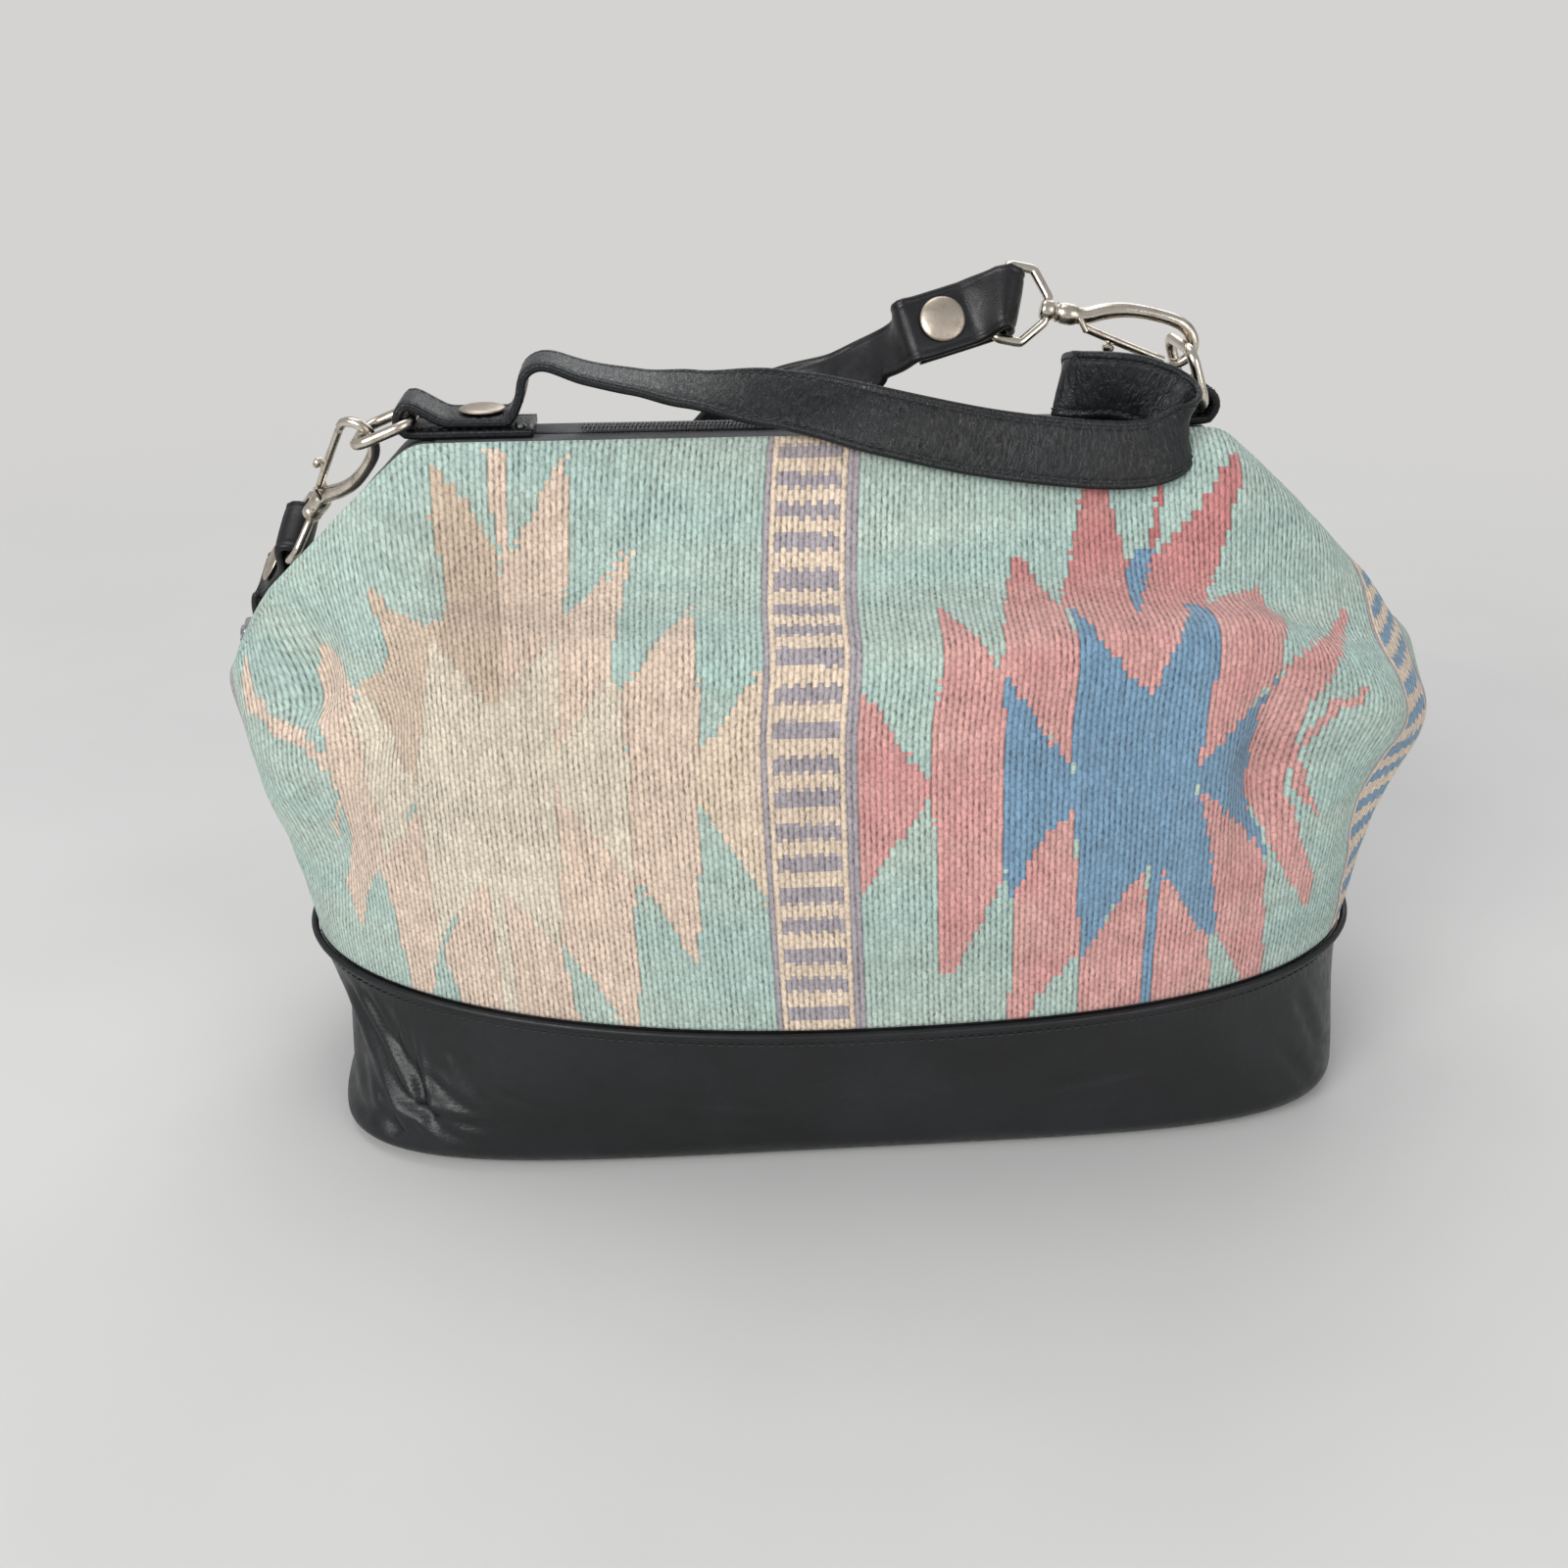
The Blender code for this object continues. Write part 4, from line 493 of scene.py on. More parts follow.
def made(name, shape):
    """The object made from this bmesh."""
    mesh = bpy.data.meshes.new(name)
    shape.to_mesh(mesh)
    shape.free()
    return placed(name, mesh)


def cloth_sheet(name, columns, rows, inset, high, rear, lumps=0.0):
    """One panel of the body as an open sheet facing out, with its place on the cloth as its UV."""
    flats = []
    places = []
    grid = []
    for column in range(columns + 1):
        flat_x = -CLOTH_HALF_WIDTH + 2 * CLOTH_HALF_WIDTH * column / columns
        long = body_section(round(flat_x / CLOTH_HALF_WIDTH * SECTIONS) / SECTIONS)[1][-1] / MM
        flats.append([])
        places.append([])
        grid.append([])
        for row in range(rows + 1):
            v = high * row / rows
            lean = 0.0 if inset else (bow(v * long) + 13) * (1 - smoothstep(40, 185, abs(flat_x)))
            places[-1].append((flat_x + lean, v * long))
            flats[-1].append(flat_place(*places[-1][-1]))
            grid[-1].append(body_point((flat_x + lean) / CLOTH_HALF_WIDTH, v))
    shape = bmesh.new()
    uv = shape.loops.layers.uv.new("cloth")
    corners = []
    for column in range(columns + 1):
        line = []
        for row in range(rows + 1):
            along = grid[min(column + 1, columns)][row] - grid[max(column - 1, 0)][row]
            up = grid[column][min(row + 1, rows)] - grid[column][max(row - 1, 0)]
            out = along.cross(up).normalized()
            place = grid[column][row] - out * (inset if row else min(inset, CLOTH_THICKNESS + 0.3 * MM))
            x, height = places[column][row]
            if lumps:
                place += puff(x / CLOTH_HALF_WIDTH, row / rows, rear)
                swell = noise.noise(Vector((x / 16, height / 13, 4.0 if rear else 0.0)))
                swell += 0.6 * noise.noise(Vector((x / 6, height / 8, 8.0 if rear else 2.0)))
                v = row / rows
                edge = min(1, v * 12, (1 - v) * 12, (1 - abs(x) / CLOTH_HALF_WIDTH) * 25)
                place += out * swell * lumps * edge
            if row == rows and high == 1 and place.y < -CLOTH_TOP_Y + MM:
                place.y = -(CHANNEL_OUTER + 0.3 * MM + CLOTH_THICKNESS * abs(out.y))
            turned_in = max(0, 3 - min(column, columns - column)) / 3
            if not inset:
                place.x -= math.copysign(1.6 * MM * turned_in**2, x)
            if turned_in == 1:
                place.y = -0.06 * MM
            if rear:
                place.y = -place.y
            line.append(shape.verts.new(place))
        corners.append(line)
    for column in range(columns):
        for row in range(rows):
            steps = [(column, row), (column + 1, row), (column + 1, row + 1), (column, row + 1)]
            if rear:
                steps.reverse()
            face = shape.faces.new([corners[c][r] for c, r in steps])
            face.smooth = True
            for loop, (c, r) in zip(face.loops, steps):
                loop[uv].uv = (c, flats[c][r][1] / BEAD)
    return made(name, shape), flats


def apply_modifiers(piece):
    """Bake a piece's modifiers into its mesh."""
    bpy.ops.object.select_all(action="DESELECT")
    bpy.context.view_layer.objects.active = piece
    piece.select_set(True)
    for step in list(piece.modifiers):
        bpy.ops.object.modifier_apply(modifier=step.name)
    piece.select_set(False)


def thicken(piece, thickness):
    """Give a sheet its thickness, laid on its inner side."""
    wall = piece.modifiers.new("thickness", "SOLIDIFY")
    wall.thickness = thickness
    wall.offset = -1
    apply_modifiers(piece)


def rigid(piece, finish, node, body):
    """A piece that rides on one body, in place of a CAD node where one is named."""
    piece.data.materials.append(finish)
    if node:
        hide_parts(node)
    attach(piece, body)


def mix(finish, share, first, second):
    """A colour between two others."""
    return add(finish, "MixRGB", {"Fac": share, "Color1": first, "Color2": second}).outputs["Color"]


def spread(finish, value, low, high, to_low=0.0, to_high=1.0, smooth=True):
    """A value stretched from one range onto another."""
    ends = {"Value": value, "From Min": low, "From Max": high, "To Min": to_low, "To Max": to_high}
    way = "SMOOTHSTEP" if smooth else "LINEAR"
    return add(finish, "MapRange", ends, interpolation_type=way).outputs["Result"]


def reckon(finish, operation, first, second=0.0):
    """A sum on one or two values."""
    return add(finish, "Math", {0: first, 1: second}, operation=operation).outputs[0]


def bumped(finish, height, strength, distance):
    """The surface's direction when it is raised by this height."""
    return add(finish, "Bump", {"Height": height, "Strength": strength, "Distance": distance}).outputs[0]


# Wool rug cloth: hand-spun wool beaten down over hidden warps, so it shows as upright ribs of staggered
# beads, with short slits between them painted dark as shade, each bead painted darker at its ends and
# paler in the middle of its rib as shade, matt, with a soft fuzz that lightens its rim
wool_cloth = new_finish("hand_woven_wool")
add_wool, spread_wool, reckon_wool, mix_wool = [
    functools.partial(step, wool_cloth) for step in (add, spread, reckon, mix)]
cloth_uv = add_wool("UVMap", uv_map="cloth").outputs["UV"]
drift = add_wool("TexNoise", {"Vector": cloth_uv, "Scale": 0.8, "Detail": 4.0, "Roughness": 0.65}).outputs["Color"]
drift = add_wool("VectorMath", {0: drift, 1: (0.5, 0.5, 0.5)}, operation="SUBTRACT").outputs[0]
drift = add_wool("VectorMath", {0: drift, 1: (0.75, 1.7, 0.0)}, operation="MULTIPLY").outputs[0]
yarn = add_wool("VectorMath", {0: cloth_uv, 1: drift}, operation="ADD").outputs[0]
yarn = add_wool("SeparateXYZ", {0: yarn})
seam_index = reckon_wool("ROUND", yarn.outputs[0])
to_seam = reckon_wool("ABSOLUTE", reckon_wool("SUBTRACT", yarn.outputs[0], seam_index))
half_step = reckon_wool("MULTIPLY", seam_index, 0.5)
seam_run = reckon_wool("ADD", yarn.outputs[1], half_step)
seam_middle = reckon_wool("ABSOLUTE", reckon_wool("SUBTRACT", reckon_wool("FRACT", seam_run), 0.5))
# Slits: short gaps where neighbouring ribs part; further down they sink the bump and are painted dark as shade
slit_long = spread_wool(seam_middle, 0.10, 0.46, 1.0, 0.22)
slit = reckon_wool("MULTIPLY", slit_long, spread_wool(to_seam, 0.02, 0.30, 1.0, 0.0))
slit_name = add_wool("CombineXYZ", {0: seam_index, 1: reckon_wool("FLOOR", seam_run), 2: 7.0}).outputs[0]
slit_tone = add_wool("TexWhiteNoise", {"Vector": slit_name}).outputs["Value"]
slit = reckon_wool("MULTIPLY", slit, spread_wool(slit_tone, 0.0, 1.0, 0.42, 1.0, smooth=False))
patchy = add_wool("TexNoise", {"Vector": cloth_uv, "Scale": 0.16, "Detail": 3.0}).outputs["Fac"]
slit = reckon_wool("MULTIPLY", slit, spread_wool(patchy, 0.36, 0.62, 0.5, 1.0))
rib_index = reckon_wool("FLOOR", yarn.outputs[0])
bead_along = reckon_wool("ADD", yarn.outputs[1], reckon_wool("MULTIPLY", rib_index, 0.5))
bead_name = add_wool("CombineXYZ", {0: rib_index, 1: reckon_wool("FLOOR", bead_along), 2: 0.0}).outputs[0]
bead_tone = add_wool("TexWhiteNoise", {"Vector": bead_name}).outputs["Value"]
bead_end = reckon_wool("ABSOLUTE", reckon_wool("SUBTRACT", reckon_wool("FRACT", bead_along), 0.5))
bead_dip = spread_wool(bead_end, 0.36, 0.5, 0.0, 1.0)
fibre_place = add_wool("Mapping", {"Vector": cloth_uv, "Rotation": (0, 0, 0.45), "Scale": (4.2, 1.5, 1.0)})
fibres = add_wool("TexNoise", {"Vector": fibre_place.outputs[0], "Scale": 1.7, "Detail": 4.0, "Roughness": 0.7})
dyed = add_wool("VertexColor", layer_name="wool")
drift_tone = add_wool("TexNoise", {"Vector": cloth_uv, "Scale": 0.5, "Detail": 3.0}).outputs["Fac"]
join = spread_wool(dyed.outputs["Alpha"], 0.66, 0.95)
join = reckon_wool("MULTIPLY", join, spread_wool(drift_tone, 0.4, 0.62, 0.1, 0.75))
# Each bead's own random tone and fibres, with painted shade: darker at the bead's ends and towards the rib's sides,
# paler in the rib's middle
bead_tone_and_shade = spread_wool(bead_tone, 0.0, 1.0, 0.90, 1.12, smooth=False)
bead_tone_and_shade = reckon_wool("MULTIPLY", bead_tone_and_shade, spread_wool(fibres.outputs["Fac"], 0.3, 0.72, 0.78, 1.20))
bead_tone_and_shade = reckon_wool("MULTIPLY", bead_tone_and_shade, spread_wool(bead_dip, 0.0, 1.0, 1.0, 0.82))
bead_tone_and_shade = reckon_wool("MULTIPLY", bead_tone_and_shade, spread_wool(to_seam, 0.0, 0.42, 0.86, 1.08))
yarn_colour_and_shade = add_wool("VectorMath", {0: dyed.outputs["Color"], "Scale": bead_tone_and_shade}, operation="SCALE").outputs[0]
# Painted shade: the dyed colour darkened and laid over the slits and the joins between colours, as the shade in those
# gaps
shaded = add_wool("VectorMath", {0: dyed.outputs["Color"], 1: (0.27, 0.27, 0.26)}, operation="MULTIPLY").outputs[0]
slit_shade_share = reckon_wool("MAXIMUM", slit, join)
wool_colour_and_shade = mix_wool(slit_shade_share, yarn_colour_and_shade, shaded)
height = reckon_wool("MULTIPLY", fibres.outputs["Fac"], 0.3)
height = reckon_wool("SUBTRACT", height, reckon_wool("MULTIPLY", bead_dip, 0.35))
height = reckon_wool("ADD", height, reckon_wool("MULTIPLY", to_seam, 0.7))
height = reckon_wool("SUBTRACT", height, reckon_wool("MAXIMUM", slit, join))
bump = add_wool("Bump", {"Height": height, "Strength": 0.6, "Distance": 0.0009}).outputs[0]
surface(wool_cloth, Base_Color=wool_colour_and_shade, Roughness=0.95, Normal=bump, Specular_IOR_Level=0.12,
        Sheen_Weight=0.22, Sheen_Roughness=0.6)

RIB_COLUMNS = round(2 * CLOTH_HALF_WIDTH / RIB)
for name, node, rear, body in (("front_kilim_cloth", "front_kilim_panel", False, "front_frame"),
                               ("rear_kilim_cloth", "rear_kilim_panel", True, "rear_frame")):
    chance = random.Random(11 if rear else 7)
    panel, flats = cloth_sheet(name, RIB_COLUMNS, ROWS_UP, 0.0, 1.0, rear, lumps=0.45 * MM)
    rib_tone = [chance.gauss(0, 0.02) for _ in range(RIB_COLUMNS)]
    wools = []
    for column in range(RIB_COLUMNS):
        wools.append([])
        for row in range(ROWS_UP):
            x = (flats[column][row][0] + flats[column + 1][row][0]) / 2
            up = (flats[column][row][1] + flats[column][row + 1][1]) / 2
            lane_x = -CLOTH_HALF_WIDTH + 2 * CLOTH_HALF_WIDTH * (column + 0.5) / RIB_COLUMNS
            wools[-1].append((wool_at(lane_x, x, up), x, up))
    values = []
    for column in range(RIB_COLUMNS):
        for row in range(ROWS_UP):
            wool, x, up = wools[column][row]
            colour = wool_colour(wool, x, up, rib_tone[column] + chance.gauss(0, 0.02))
            # Alpha marks a join where the wool meets another colour, a slit that the finish paints dark as shade
            left = float(wools[max(column - 1, 0)][row][0] != wool)
            right = float(wools[min(column + 1, RIB_COLUMNS - 1)][row][0] != wool)
            if left and right or wool in ("lavender", "tan") and abs(x + 13) < 30:
                left = right = 0.0
            for share in (left, right, right, left):
                values.extend((*colour, share))
    colours = panel.data.color_attributes.new("wool", "FLOAT_COLOR", "CORNER")
    colours.data.foreach_set("color", values)
    panel.data.materials.append(wool_cloth)
    thicken(panel, CLOTH_THICKNESS)
    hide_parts(node)
    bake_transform(panel)


# Lining: a dark plain-woven cotton sheet inside each panel, sewn in at the base's rim and hanging from
# a line below the frame's channel, a few millimetres in from the wool.
# Cotton drill: matt and dark, with a fine diagonal rib of 0.8 mm
cotton = new_finish("dark_cotton_drill")
drill_uv = add(cotton, "UVMap", uv_map="cloth").outputs["UV"]
drill = add(cotton, "Mapping", {"Vector": drill_uv, "Rotation": (0, 0, 0.8), "Scale": (2.2, 3.9, 1.0)}).outputs[0]
drill_rib = add(cotton, "TexWave", {"Vector": drill, "Scale": 0.32, "Distortion": 0.6, "Detail": 1.0}).outputs["Fac"]
drill_bump = bumped(cotton, drill_rib, 0.4, 0.0002)
surface(cotton, Base_Color=mix(cotton, drill_rib, linear("#2b2b2e"), linear("#3c3c40")), Roughness=0.9,
        Normal=drill_bump, Specular_IOR_Level=0.2)
for name, node, rear, body in (("front_lining_cloth", "front_lining", False, "front_frame"),
                               ("rear_lining_cloth", "rear_lining", True, "rear_frame")):
    panel, _ = cloth_sheet(name, 90, 30, 5.3 * MM, 0.83, rear)
    panel.data.materials.append(cotton)
    thicken(panel, 0.8 * MM)
    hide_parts(node)
    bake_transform(panel)


# Leather base: a tray of one piece of smooth black leather, shaped wet over a last so that it has a boxy
# foot and an oval rim, and sewn to the wool at its rim. It is creased at the left foot, where it has sunk.
FOOT_HALF_LENGTH = RIM_HALF_LENGTH - 4 * MM
FOOT_HALF_DEPTH = RIM_HALF_DEPTH - 8 * MM
FOOT_FULLNESS = 4.6
BASE_WALL = 2.8 * MM
FOOT_RADIUS = 9 * MM
BASE_STEPS = [-1 + 0.4 * step / 130 for step in range(130)] + [-0.6 + 1.6 * step / 130 for step in range(131)]


def base_outline(height, inset):
    """Points right round the base at a height, seen from above, set in from its outer side."""
    share = smoothstep(0.05, 1.0, height / BASE_HEIGHT)
    front = []
    for u in BASE_STEPS:
        foot, foot_out = oval(u, FOOT_HALF_LENGTH, FOOT_HALF_DEPTH, FOOT_FULLNESS)
        rim, rim_out = rim_oval(u)
        out = foot_out.lerp(rim_out, share).normalized()
        front.append(foot.lerp(rim, share) - out * inset)
    return front + [Vector((p.x, -p.y)) for p in reversed(front[1:-1])]


# Creases on the left foot: from and to in x and height, width and depth, all in millimetres
CREASES = [(-166, 47, -150, 29, 1.8, 1.3), (-159, 49, -145, 33, 1.4, 1.1), (-150, 45, -139, 24, 1.6, 1.2),
           (-143, 41, -137, 17, 1.4, 1.0), (-153, 27, -127, 12, 1.9, 1.4), (-147, 21, -121, 17, 1.5, 0.9),
           (-163, 31, -150, 13, 1.9, 1.4), (-137, 31, -123, 22, 1.3, 0.7), (-169, 38, -160, 17, 2.2, 1.5),
           (-128, 40, -118, 26, 1.3, 0.5), (-156, 14, -148, 8, 2.6, 1.6), (-112, 30, -96, 24, 1.4, 0.4),
           (158, 44, 168, 24, 1.7, 0.9), (150, 30, 164, 12, 1.7, 0.7), (-60, 26, -30, 22, 2.0, 0.3),
           (70, 24, 104, 28, 2.2, 0.3)]


def crease_depth(x, height):
    """How far the creases press the leather in at a place, given in millimetres."""
    depth = 0.0
    for ax, az, bx, bz, wide, deep in CREASES:
        run = Vector((bx - ax, bz - az))
        along = Vector((x - ax, height - az)).dot(run) / run.length_squared
        if -0.3 < along < 1.3:
            off = (Vector((x - ax, height - az)) - run * along).length
            ends = smoothstep(-0.25, 0.2, along) * (1 - smoothstep(0.8, 1.25, along))
            depth += deep * ends * (math.exp(-(off / wide)**2) - 0.5 * math.exp(-((off - 2.2 * wide) / wide)**2))
    return min(depth, 1.9) * MM


def ring_shell(name, rings):
    """A skin over rings of points of equal number, closed at the first, with its millimetres as its UV."""
    shape = bmesh.new()
    uv = shape.loops.layers.uv.new("leather")
    rows = [[shape.verts.new(p) for p in ring] for ring in rings]
    count = len(rings[0])
    around = [0.0]
    for step in range(count):
        around.append(around[-1] + (rings[-1][(step + 1) % count] - rings[-1][step]).length / MM)
    up = [0.0]
    for low, high in zip(rings, rings[1:]):
        up.append(up[-1] + (high[count // 4] - low[count // 4]).length / MM)
    for row in range(len(rows) - 1):
        for step in range(count):
            after = (step + 1) % count
            face = shape.faces.new((rows[row][step], rows[row][after], rows[row + 1][after], rows[row + 1][step]))
            places = ((step, row), (step + 1, row), (step + 1, row + 1), (step, row + 1))
            for loop, (c, r) in zip(face.loops, places):
                loop[uv].uv = (around[c], up[r])
    shape.faces.new(list(reversed(rows[0])))
    for face in shape.faces:
        face.smooth = True
    return made(name, shape)


base_rings = []
for share in (0.12, 0.4, 0.7, 0.9, 0.97):
    base_rings.append([Vector((p.x * share, p.y * share, 0)) for p in base_outline(0, FOOT_RADIUS)])
for step in range(9):
    angle = math.pi / 2 * step / 8
    lift = FOOT_RADIUS * (1 - math.cos(angle))
    base_rings.append([Vector((*p, lift)) for p in base_outline(lift, FOOT_RADIUS * (1 - math.sin(angle)))])
for step in range(1, 43):
    lift = FOOT_RADIUS + (BASE_HEIGHT - FOOT_RADIUS) * step / 42
    base_rings.append([Vector((*p, lift)) for p in base_outline(lift, 0)])
for ring in base_rings:
    for point in ring:
        drawn = smoothstep(100 * MM, 176 * MM, -point.x) * (1 - smoothstep(28 * MM, 57 * MM, point.z))
        point.x += drawn * (2 * MM + 5 * MM * smoothstep(3 * MM, 11 * MM, point.z))
base = ring_shell("leather_tray", base_rings)
thicken(base, BASE_WALL)
for row, ring in enumerate(base_rings[13:], 13):
    for index, point in enumerate(ring):
        out = (ring[(index + 1) % len(ring)] - ring[index - 1]).cross(Vector((0, 0, 1))).normalized()
        sag = noise.noise(Vector((point.x * 22, point.y * 22, point.z * 30))) * 0.5 * MM
        fade = 1 - smoothstep(48 * MM, 57 * MM, point.z)
        push = crease_depth(point.x / MM, point.z / MM) if point.y < 0 else 0.0
        base.data.vertices[row * len(ring) + index].co += out * (sag - push) * fade
rim_edge = base.modifiers.new("rim", "BEVEL")
rim_edge.width = 0.5 * MM
rim_edge.segments = 2
rim_edge.angle_limit = math.radians(60)
apply_modifiers(base)
base.data.shade_smooth()


def leather(name, dark, light, gloss, grain, pucker=0.0, wrinkles=0.0):
    """Dyed leather: a pebbled grain of this many millimetres, worn paler in patches, and wrinkled across."""
    finish = new_finish(name)
    spot = own_place(finish)
    pebbles = add(finish, "TexVoronoi", {"Vector": spot, "Scale": 1 / (grain * MM), "Randomness": 1.0})
    creased = add(finish, "TexNoise", {"Vector": spot, "Scale": 260.0, "Detail": 6.0, "Roughness": 0.65}).outputs["Fac"]
    worn = add(finish, "TexNoise", {"Vector": spot, "Scale": 28.0, "Detail": 3.0}).outputs["Fac"]
    grain_high = reckon(finish, "MULTIPLY", pebbles.outputs["Distance"], 0.55)
    grain_high = reckon(finish, "SUBTRACT", creased, grain_high)
    if pucker:
        place = add(finish, "UVMap", uv_map="leather").outputs["UV"]
        place = add(finish, "SeparateXYZ", {0: place})
        pulls = reckon(finish, "SINE", reckon(finish, "MULTIPLY", place.outputs[0], 2 * math.pi / pucker))
        near_seam = spread(finish, add(finish, "SeparateXYZ", {0: spot}).outputs[2], 0.046, 0.056)
        grain_high = reckon(finish, "ADD", grain_high,
                            reckon(finish, "MULTIPLY", reckon(finish, "MULTIPLY", pulls, near_seam), 0.5))
    if wrinkles:
        place = add(finish, "Mapping", {"Vector": add(finish, "UVMap", uv_map="leather").outputs["UV"],
                                        "Scale": (0.28, 0.75, 1.0)})
        waves = add(finish, "TexNoise", {"Vector": place.outputs[0], "Scale": 1.0, "Detail": 4.0, "Roughness": 0.6,
                                         "Distortion": 0.6})
        waves = spread(finish, waves.outputs["Fac"], 0.38, 0.62)
        grain_high = reckon(finish, "ADD", grain_high, reckon(finish, "MULTIPLY", waves, wrinkles))
    tone = mix(finish, spread(finish, worn, 0.35, 0.72), linear(dark), linear(light))
    rough = spread(finish, creased, 0.3, 0.7, gloss - 0.06, gloss + 0.12)
    bump = bumped(finish, grain_high, 0.45, 0.00022 * max(grain, 0.8))
    surface(finish, Base_Color=tone, Roughness=rough, Normal=bump, Specular_IOR_Level=0.36, Coat_Weight=0.05,
            Coat_Roughness=0.3)
    return finish


# Smooth calf: aniline dyed black, so it shows broad soft highlights and hardly any grain, with the
# stitches pulling small puckers under the rim
calf = leather("smooth_black_calf", "#111214", "#1b1c1f", 0.36, 0.7, pucker=3.2)
rigid(base, calf, "leather_base", "bag")

# Fibre board: pressed grey-brown pulp, matt and speckled
board = new_finish("pressed_fibre_board")
pulp = add(board, "TexNoise", {"Vector": own_place(board), "Scale": 420.0,
                               "Detail": 5.0}).outputs["Fac"]
surface(board, Base_Color=mix(board, pulp, linear("#2e2924"), linear("#4b443c")), Roughness=0.85,
        Normal=bumped(board, pulp, 0.3, 0.0003))


def dress(node, finish):
    """Give a CAD piece that stays in view its finish."""
    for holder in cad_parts[node].material_slots:
        holder.material = finish


dress("base_board", board)


# Piping and stitching round the rim: a thin roll of the same leather laid in the seam between wool and
# base, and a line of black waxed thread just under it, 3.2 mm to the stitch.
def cleaned(sharp):
    """The selected piece with its doubled points merged, smooth but for edges sharper than this in degrees."""
    bpy.ops.object.mode_set(mode="EDIT")
    bpy.ops.mesh.select_all(action="SELECT")
    bpy.ops.mesh.remove_doubles(threshold=0.00001)
    bpy.ops.mesh.normals_make_consistent(inside=False)
    bpy.ops.object.mode_set(mode="OBJECT")
    bpy.ops.object.shade_smooth_by_angle(angle=math.radians(sharp))
    piece = bpy.context.object
    piece.select_set(False)
    return piece


def wire(name, points, radius, closed=False, radii=None, sides=3):
    """A round wire along points, made a mesh."""
    curve = bpy.data.curves.new(name, "CURVE")
    curve.dimensions = "3D"
    curve.bevel_depth = radius
    curve.bevel_resolution = sides
    curve.use_fill_caps = True
    line = curve.splines.new("POLY")
    line.points.add(len(points) - 1)
    line.use_cyclic_u = closed
    for slot, point in zip(line.points, points):
        slot.co = (*point, 1.0)
    for slot, share in zip(line.points, radii or []):
        slot.radius = share
    piece = placed(name, curve)
    bpy.ops.object.select_all(action="DESELECT")
    bpy.context.view_layer.objects.active = piece
    piece.select_set(True)
    bpy.ops.object.convert(target="MESH")
    return cleaned(50)


def even_along(points, spacing, closed=False):
    """Places every so often along a line, each with the line's direction there."""
    line = points + [points[0]] if closed else points
    lengths = lengths_along(line)
    count = max(1, round(lengths[-1] / spacing))
    places = []
    for step in range(count if closed else count + 1):
        place, index = along_line(line, lengths, lengths[-1] * step / count)
        places.append((place, (line[index + 1] - line[index]).normalized()))
    return places


def stitching(name, rows, length, thick):
    """Short slanted stitches of thread: rows are lists of (place, direction along, direction out)."""
    shape = bmesh.new()
    for place, along, out in rows:
        across = out.cross(along).normalized()
        rings = []
        for share, swell in ((-0.5, 0.25), (-0.36, 0.85), (0, 1.0), (0.36, 0.85), (0.5, 0.25)):
            middle = place + along * length * share + across * length * share * 0.12
            middle -= out * thick * 1.2 * (2 * abs(share))**3
            ring = []
            for step in range(6):
                angle = math.pi * 2 * step / 6
                turn = across * math.cos(angle) + out * math.sin(angle)
                ring.append(shape.verts.new(middle + turn * thick * swell))
            rings.append(ring)
        for low, high in zip(rings, rings[1:]):
            for step in range(6):
                after = (step + 1) % 6
                shape.faces.new((low[step], low[after], high[after], high[step]))
        shape.faces.new(list(reversed(rings[0])))
        shape.faces.new(rings[-1])
    bmesh.ops.recalc_face_normals(shape, faces=shape.faces)
    for face in shape.faces:
        face.smooth = True
    return made(name, shape)


PIPING = 1.25 * MM
SEAM_HEIGHT = 53.4 * MM
SEAM_STITCH = 3.2 * MM
piping = wire("rim_piping", [Vector((*p, BASE_HEIGHT - PIPING)) for p in base_outline(BASE_HEIGHT, -PIPING - 0.3 * MM)],
              PIPING, closed=True, sides=3)
rolled_calf = leather("rolled_black_calf", "#101113", "#1a1b1e", 0.42, 0.7)
rigid(piping, rolled_calf, "base_welt", "bag")

seam_line = [Vector((*p, SEAM_HEIGHT)) for p in base_outline(SEAM_HEIGHT, -0.15 * MM)]
seam_rows = []
for place, along in even_along(seam_line, SEAM_STITCH, closed=True):
    seam_rows.append((place, along, along.cross(Vector((0, 0, 1))).normalized()))
# Waxed thread: three-ply polyester, black with a little shine
thread = new_finish("waxed_black_thread")
twist = add(thread, "TexWave", {"Vector": own_place(thread), "Scale": 700.0, "Distortion": 1.0})
surface(thread, Base_Color=mix(thread, twist.outputs["Fac"], linear("#131416"), linear("#2c2d31")), Roughness=0.5,
        Normal=bumped(thread, twist.outputs["Fac"], 0.4, 0.0001))
seam = stitching("rim_stitching", seam_rows, 2.5 * MM, 0.33 * MM)
rigid(seam, thread, None, "bag")


# Frame: two halves of bent steel rod that turn on a pin at each end, each hidden in a channel covered
# with dark brushed cloth, folded over the rod and sewn through the wool's top edge.
CHANNEL_HEIGHT = 11 * MM
CHANNEL_WALL = 1.5 * MM


def frame_grid(section, past_hinge, spacing):
    """Points along the frame for each (out from the middle, below the top) of a section, left to right."""
    rows = []
    for out, below in section:
        half = frame_line(below, past_hinge, steps=8)
        fine = []
        for a, b, near, far in zip(half, half[1:], *[frame_line(0, past_hinge, steps=8)[k:] for k in (0, 1)]):
            count = max(1, round((far - near).length / spacing))
            fine += [a.lerp(b, step / count) for step in range(count)]
        fine.append(half[-1])
        line = [Vector((-p.x, p.y)) for p in reversed(fine[1:])] + fine
        rows.append([Vector((p.x + FRAME_CENTRE, -out, p.y)) for p in line])
    return rows


